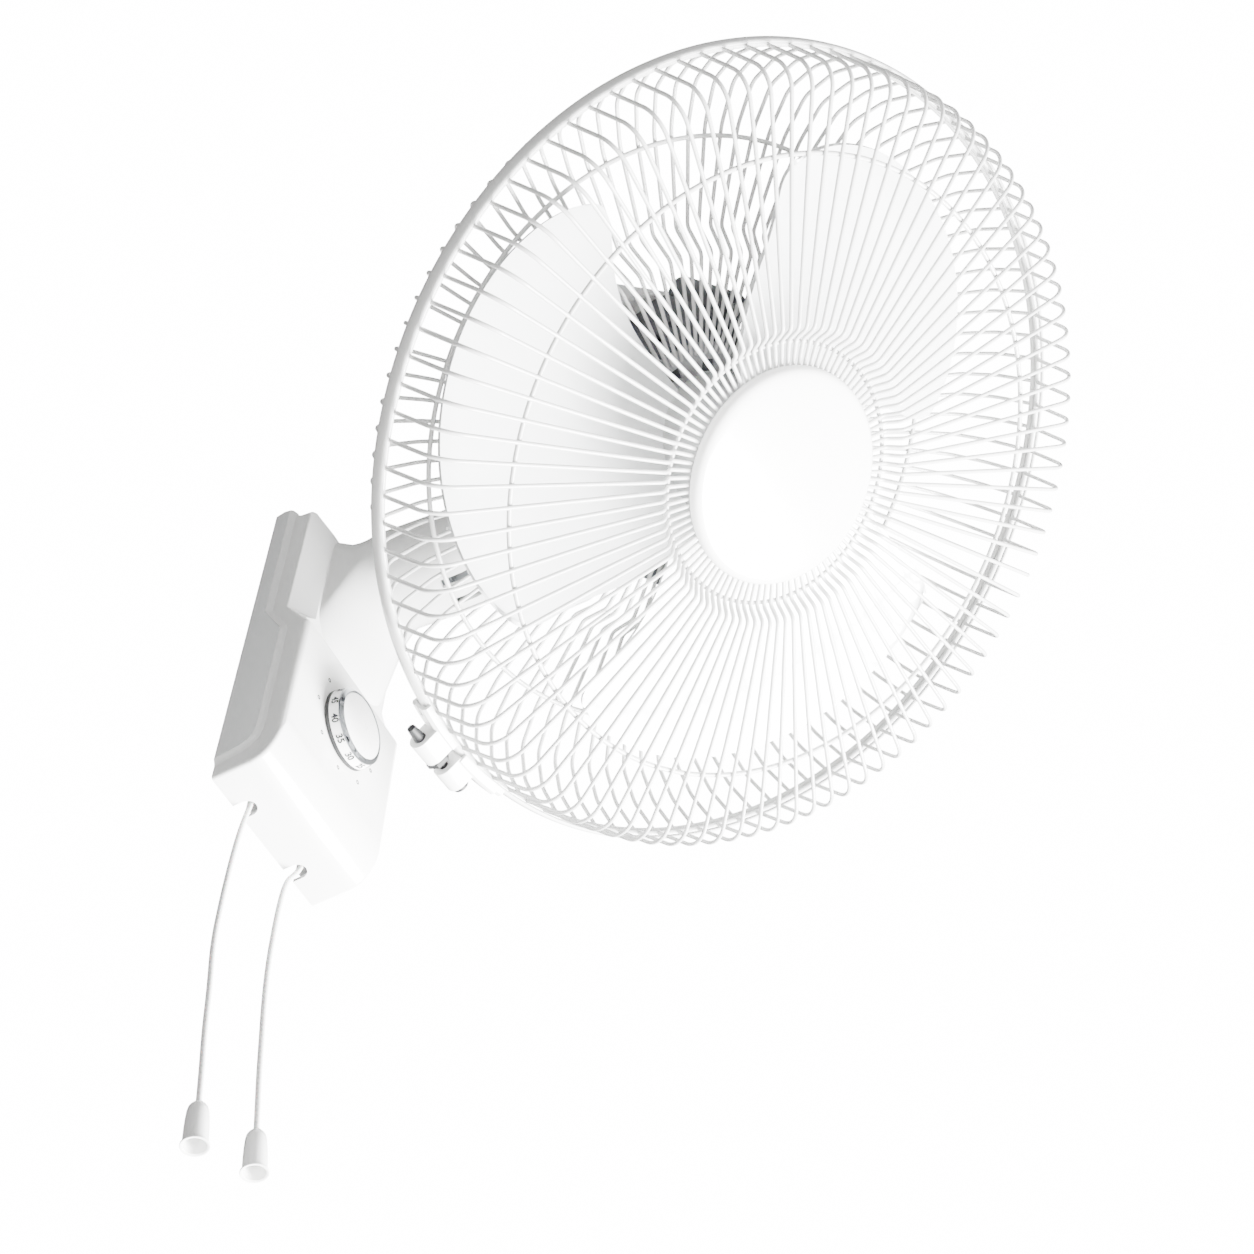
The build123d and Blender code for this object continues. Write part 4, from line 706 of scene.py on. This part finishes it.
class FAN_OT_dial(bpy.types.Operator):
    """Mould the timer knob and its chrome ring, and print the dial's numbers and marks"""
    bl_idname = "fan.dial"
    bl_label = "Timer dial"

    def execute(self, context):
        r = sizes().knob_radius
        # heights above the knob's back
        place = facing_room(FRONT_Y - KNOB_GAP)
        knob = turned("dial_knob", [(3.1, 0.0), (r - 0.5, 0.0), (r, 0.5), (r, 2.8), (r - 0.15, 3.2),
                                    (r - 1.0, 7.4), (18.9, 7.4), (18.7, 8.9), (18.3, 9.45), (17.6, 9.6),
                                    (9, 9.68), (0, 9.7)], 128)
        settled(knob, place, "knob", "sleeve_plastic", 25)
        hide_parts("timer_knob")
        ring = turned("dial_ring", [(18.8, 7.5), (r - 1.0, 7.5), (r - 0.85, 7.9), (r - 0.95, 8.4),
                                    (19.4, 9.75), (19.1, 9.85), (18.8, 9.7), (18.8, 7.5)], 128)
        settled(ring, place, "knob", "chrome_trim", 25)
        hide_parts("knob_ring")
        foot = turned("dial_foot", [(r - 0.6, 0.05), (r + 0.12, 0.05), (r + 0.12, 2.3), (r - 0.2, 2.4)],
                      128)
        settled(foot, place, "knob", "black_plastic", 25)
        for k in range(12):
            a = radians(90 - 30 * k)
            # the number stands on the skirt, which leans in by ten degrees, and reads from outside
            out = Matrix.Rotation(a, 4, "Z") @ Matrix.Translation((r - 0.42, 0, 5.2))
            lean = out @ Matrix.Rotation(radians(80), 4, "Y") @ Matrix.Rotation(pi / 2, 4, "Z")
            print_text(f"dial_number_{k}", str(5 * k), 5.1, place @ lean, "knob")
        for k, a in enumerate((142, 184, 226, 269, 311, 353)):
            x, z = MARK_RING * cos(radians(a)), MARK_RING * sin(radians(a))
            mark = turned(f"box_mark_{k}", [(0.55, 0), (1.3, 0), (1.3, 0.08), (0.55, 0.08), (0.55, 0)], 24)
            # sunk by 0.02 mm, so that no gap shows
            there = Matrix.Translation((x, FRONT_Y + 0.02, sizes().knob_height + z))
            there = BOX @ there @ Matrix.Rotation(pi / 2, 4, "X")
            settled(mark, there, "base", "black_plastic")
        return {"FINISHED"}


# ---- cords --------------------------------------------------------------------------------------
def run_cord(name, points, node, body):
    """A pull cord along its given run."""
    start()
    curve = bpy.data.curves.new(name, "CURVE")
    curve.dimensions = "3D"
    spline = curve.splines.new("NURBS")
    spline.points.add(len(points) - 1)
    for point, (x, y, z) in zip(spline.points, points):
        point.co = (x * MM, y * MM, (z - ORIGIN_H) * MM, 1)
    spline.order_u = 3
    spline.use_endpoint_u = True
    spline.resolution_u = 12
    curve.bevel_depth = sizes().cord_width / 2 * MM
    curve.bevel_resolution = 4
    curve.use_fill_caps = True
    cord = bpy.data.objects.new(name, curve)
    bpy.context.scene.collection.objects.link(cord)
    curve.materials.append(finish("cord_white"))
    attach(cord, body)
    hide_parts(node)
    return cord


def bell_at(name, points, node, body):
    """A small moulded bell, hollow from below, in line with the cord's end."""
    n = sizes().bell_length
    profile = [(0, 0.0), (1.42, 0.0), (1.45, 1.4), (2.3, 1.2), (3.0, 0.3), (3.8, -0.6), (4.5, -1.8),
               (5.0, -4.0), (5.35, -8), (5.6, -13),
               (5.75, 1.6 - n), (6.1, 1.1 - n), (6.6, 0.8 - n), (6.65, 0.3 - n), (6.5, -n), (5.9, -n),
               (5.2, 0.4 - n), (4.6, 3 - n), (4.3, -9), (3.9, -5.5), (0, -4.4)]
    bell = turned(name, profile, 64)
    end, before = Vector(points[-1]), Vector(points[-2])
    away = (before - end).normalized()
    # the bell hangs in line with the cord, and its collar closes round the cord's end
    place = BOX @ Matrix.Translation(end) @ away.to_track_quat("Z", "Y").to_matrix().to_4x4()
    settled(bell, place, body, "white_plastic", 30)
    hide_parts(node)
    return bell


class FAN_OT_pulls(bpy.types.Operator):
    """Hang the two pull cords with their bells"""
    bl_idname = "fan.pulls"
    bl_label = "Pull cords"

    def execute(self, context):
        for kind, points, run in (("speed", SPEED_CORD, 0.2049), ("swing", SWING_CORD, 0.1892)):
            body = f"{kind}_pull"
            cord = run_cord(f"{kind}_cord_run", points, f"{kind}_cord", body)
            bell = bell_at(f"{kind}_bell_cup", points, f"{kind}_bell", body)
        return {"FINISHED"}


# ---- head ---------------------------------------------------------------------------------------
class FAN_OT_hoop(bpy.types.Operator):
    """Roll the hoop that joins the two guards, open where its clamp closes it"""
    bl_idname = "fan.hoop"
    bl_label = "Hoop"

    def execute(self, context):
        r = sizes().hoop_radius
        crown = [(r - 2.2 + 2.2 * cos(radians(a)), 5.25 * sin(radians(a))) for a in range(90, -91, -15)]
        channel = [(r - 2.6, -5.0), (r - 2.6, -3.85), (r - 1.5, -3.0), (r - 1.5, 3.0), (r - 2.6, 3.85),
                   (r - 2.6, 5.0)]
        profile = [channel[-1]] + crown + channel
        hoop = turned("hoop_band", profile, 300, radians(359.6), radians(-82.6))
        settled(hoop, HEAD, "head", "hoop_enamel", 40)
        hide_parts("hoop")
        return {"FINISHED"}


class FAN_OT_clamp(bpy.types.Operator):
    """Ease the edges of the clamp's sleeves and nut"""
    bl_idname = "fan.clamp"
    bl_label = "Hoop clamp"

    def execute(self, context):
        softened("upper_sleeve", "clamp_sleeve_upper", 0.7, 30, 35, 3)
        softened("lower_sleeve", "clamp_sleeve_lower", 0.7, 30, 35, 3)
        softened("clamp_nut", "clamp_nut_turned", 0.3)
        return {"FINISHED"}


class FAN_OT_hub_cap(bpy.types.Operator):
    """Mould the bare, slightly domed cap in the middle of the front guard"""
    bl_idname = "fan.hub_cap"
    bl_label = "Hub cap"

    def execute(self, context):
        r = sizes().cap_radius
        dome = [(r * k / 8, 46.0 - 1.3 * (k / 8) ** 2.4) for k in range(8)]
        edge = [(r - 4.2, 44.75), (r - 2.2, 44.1), (r - 0.8, 42.8), (r - 0.15, 41.2), (r, 39.6), (r, 38.6),
                (r - 0.2, 38.4), (r - 2.0, 38.4), (r - 2.2, 38.8), (r - 2.6, 41.4), (r - 5, 42.4),
                (0, 43.6)]
        cap = turned("hub_cap_dome", dome + edge, 160)
        settled(cap, HEAD, "head", "white_plastic", 35)
        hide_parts("hub_cap")
        return {"FINISHED"}


class FAN_OT_blades(bpy.types.Operator):
    """Ease the edges of the moulded blades"""
    bl_idname = "fan.blades"
    bl_label = "Blades"

    def execute(self, context):
        softened("blade_set", "blades_moulded", 0.5, 40, 40, 2)
        return {"FINISHED"}


# ---- stage --------------------------------------------------------------------------------------
# the camera that was fitted to the photograph, and what lies right, down and ahead of it
CAMERA_AT = (-0.6501, -0.5336, -0.8893)
CAMERA_LENS = 63.16
RIGHT = Vector((0.4158, -0.9087, 0.0371))
DOWN = Vector((0.7024, 0.2950, -0.6478))
AHEAD = Vector((0.5777, 0.2955, 0.7609))
LIT = Vector((0.55, -0.52, -0.65)).normalized()        # toward the key light
BACKDROP = 16.0        # strength of the backdrop, which only the camera sees


def soft_light(name, way, distance, width, power):
    """A soft box that faces the fan from the given way."""
    start()
    toward = Vector(way).normalized()
    bpy.ops.object.light_add(type="AREA", location=HUB + toward * distance)
    light = bpy.context.object
    light.name = name
    light.data.shape = "DISK"
    light.data.size = width
    light.data.energy = power
    light.rotation_euler = toward.to_track_quat("Z", "Y").to_euler()


class FAN_OT_stage(bpy.types.Operator):
    """Lay the floor, hang the soft lights and set up the photograph's camera"""
    bl_idname = "fan.stage"
    bl_label = "Stage"

    def execute(self, context):
        start()
        bpy.ops.mesh.primitive_plane_add(size=14, location=(0, -1.5, -1.75))
        floor = named("floor")
        material, tree = blank("Floor, pale matt paint")
        where = add(tree, "TexCoord").outputs["Object"]
        worn = add(tree, "TexNoise", Vector=where, Scale=1.4, Detail=3.0)
        shade = shaded(tree, linear("#eeeeec"), linear("#f5f5f4"), worn.outputs["Fac"])
        shader = add(tree, "BsdfPrincipled", Base_Color=shade, Roughness=0.8)
        add(tree, "OutputMaterial", Surface=shader.outputs["BSDF"])
        floor.data.materials.append(material)

        world = bpy.data.worlds.new("Studio")
        context.scene.world = world
        world.use_nodes = True
        # a bright backdrop, and round it a room that is brightest on the side the light comes from
        tree = world.node_tree
        tree.nodes.clear()
        way = add(tree, "TexCoord").outputs["Generated"]
        facing = add(tree, "VectorMath", {"operation": "DOT_PRODUCT"}, _0=way, _1=LIT)
        room = add(tree, "MapRange", Value=facing.outputs["Value"], From_Min=-1.0, From_Max=1.0,
                   To_Min=0.25, To_Max=2.4)
        seen = add(tree, "LightPath").outputs["Is Camera Ray"]
        strength = add(tree, "Mix", {"data_type": "FLOAT"}, _0=seen, _2=room.outputs["Result"],
                       _3=BACKDROP)
        background = add(tree, "Background", Strength=strength.outputs[0])
        background.inputs["Color"].default_value = (1, 1, 1, 1)
        add(tree, "OutputWorld", Surface=background.outputs["Background"])
        soft_light("key", LIT, 2.2, 1.6, 1000)

        bpy.ops.object.camera_add()
        camera = bpy.context.object
        camera.name = "photo_camera"
        camera.data.sensor_width = 36
        camera.data.lens = CAMERA_LENS
        camera.data.clip_end = 50
        turn = Matrix((RIGHT, -DOWN, -AHEAD)).transposed().to_4x4()
        camera.matrix_world = Matrix.Translation(CAMERA_AT) @ turn
        context.scene.camera = camera
        return {"FINISHED"}


class FAN_PT_build(bpy.types.Panel):
    """The fan's pieces, in the order they are made"""
    bl_label = "Wall Fan"
    bl_idname = "FAN_PT_build"
    bl_space_type = "VIEW_3D"
    bl_region_type = "UI"
    bl_category = "Wall Fan"

    def draw(self, context):
        for group in (context.scene.fan_sizes, context.scene.fan_colours):
            for name in group.__annotations__:
                self.layout.prop(group, name)
        for step in STEPS:
            self.layout.operator(step.bl_idname)


STEPS = (FAN_OT_finishes, FAN_OT_wall_box, FAN_OT_dial, FAN_OT_pulls, FAN_OT_hoop, FAN_OT_clamp,
         FAN_OT_hub_cap, FAN_OT_blades, FAN_OT_stage)
CLASSES = (FanSizes, FanColours, *STEPS, FAN_PT_build)


def register():
    for cls in CLASSES:
        bpy.utils.register_class(cls)
    bpy.types.Scene.fan_sizes = bpy.props.PointerProperty(type=FanSizes)
    bpy.types.Scene.fan_colours = bpy.props.PointerProperty(type=FanColours)


def unregister():
    del bpy.types.Scene.fan_colours
    del bpy.types.Scene.fan_sizes
    for cls in reversed(CLASSES):
        bpy.utils.unregister_class(cls)


def main():
    register()
    for step in STEPS:
        group, name = step.bl_idname.split(".")
        getattr(getattr(bpy.ops, group), name)()
    start()


if __name__ == "__main__":
    main()
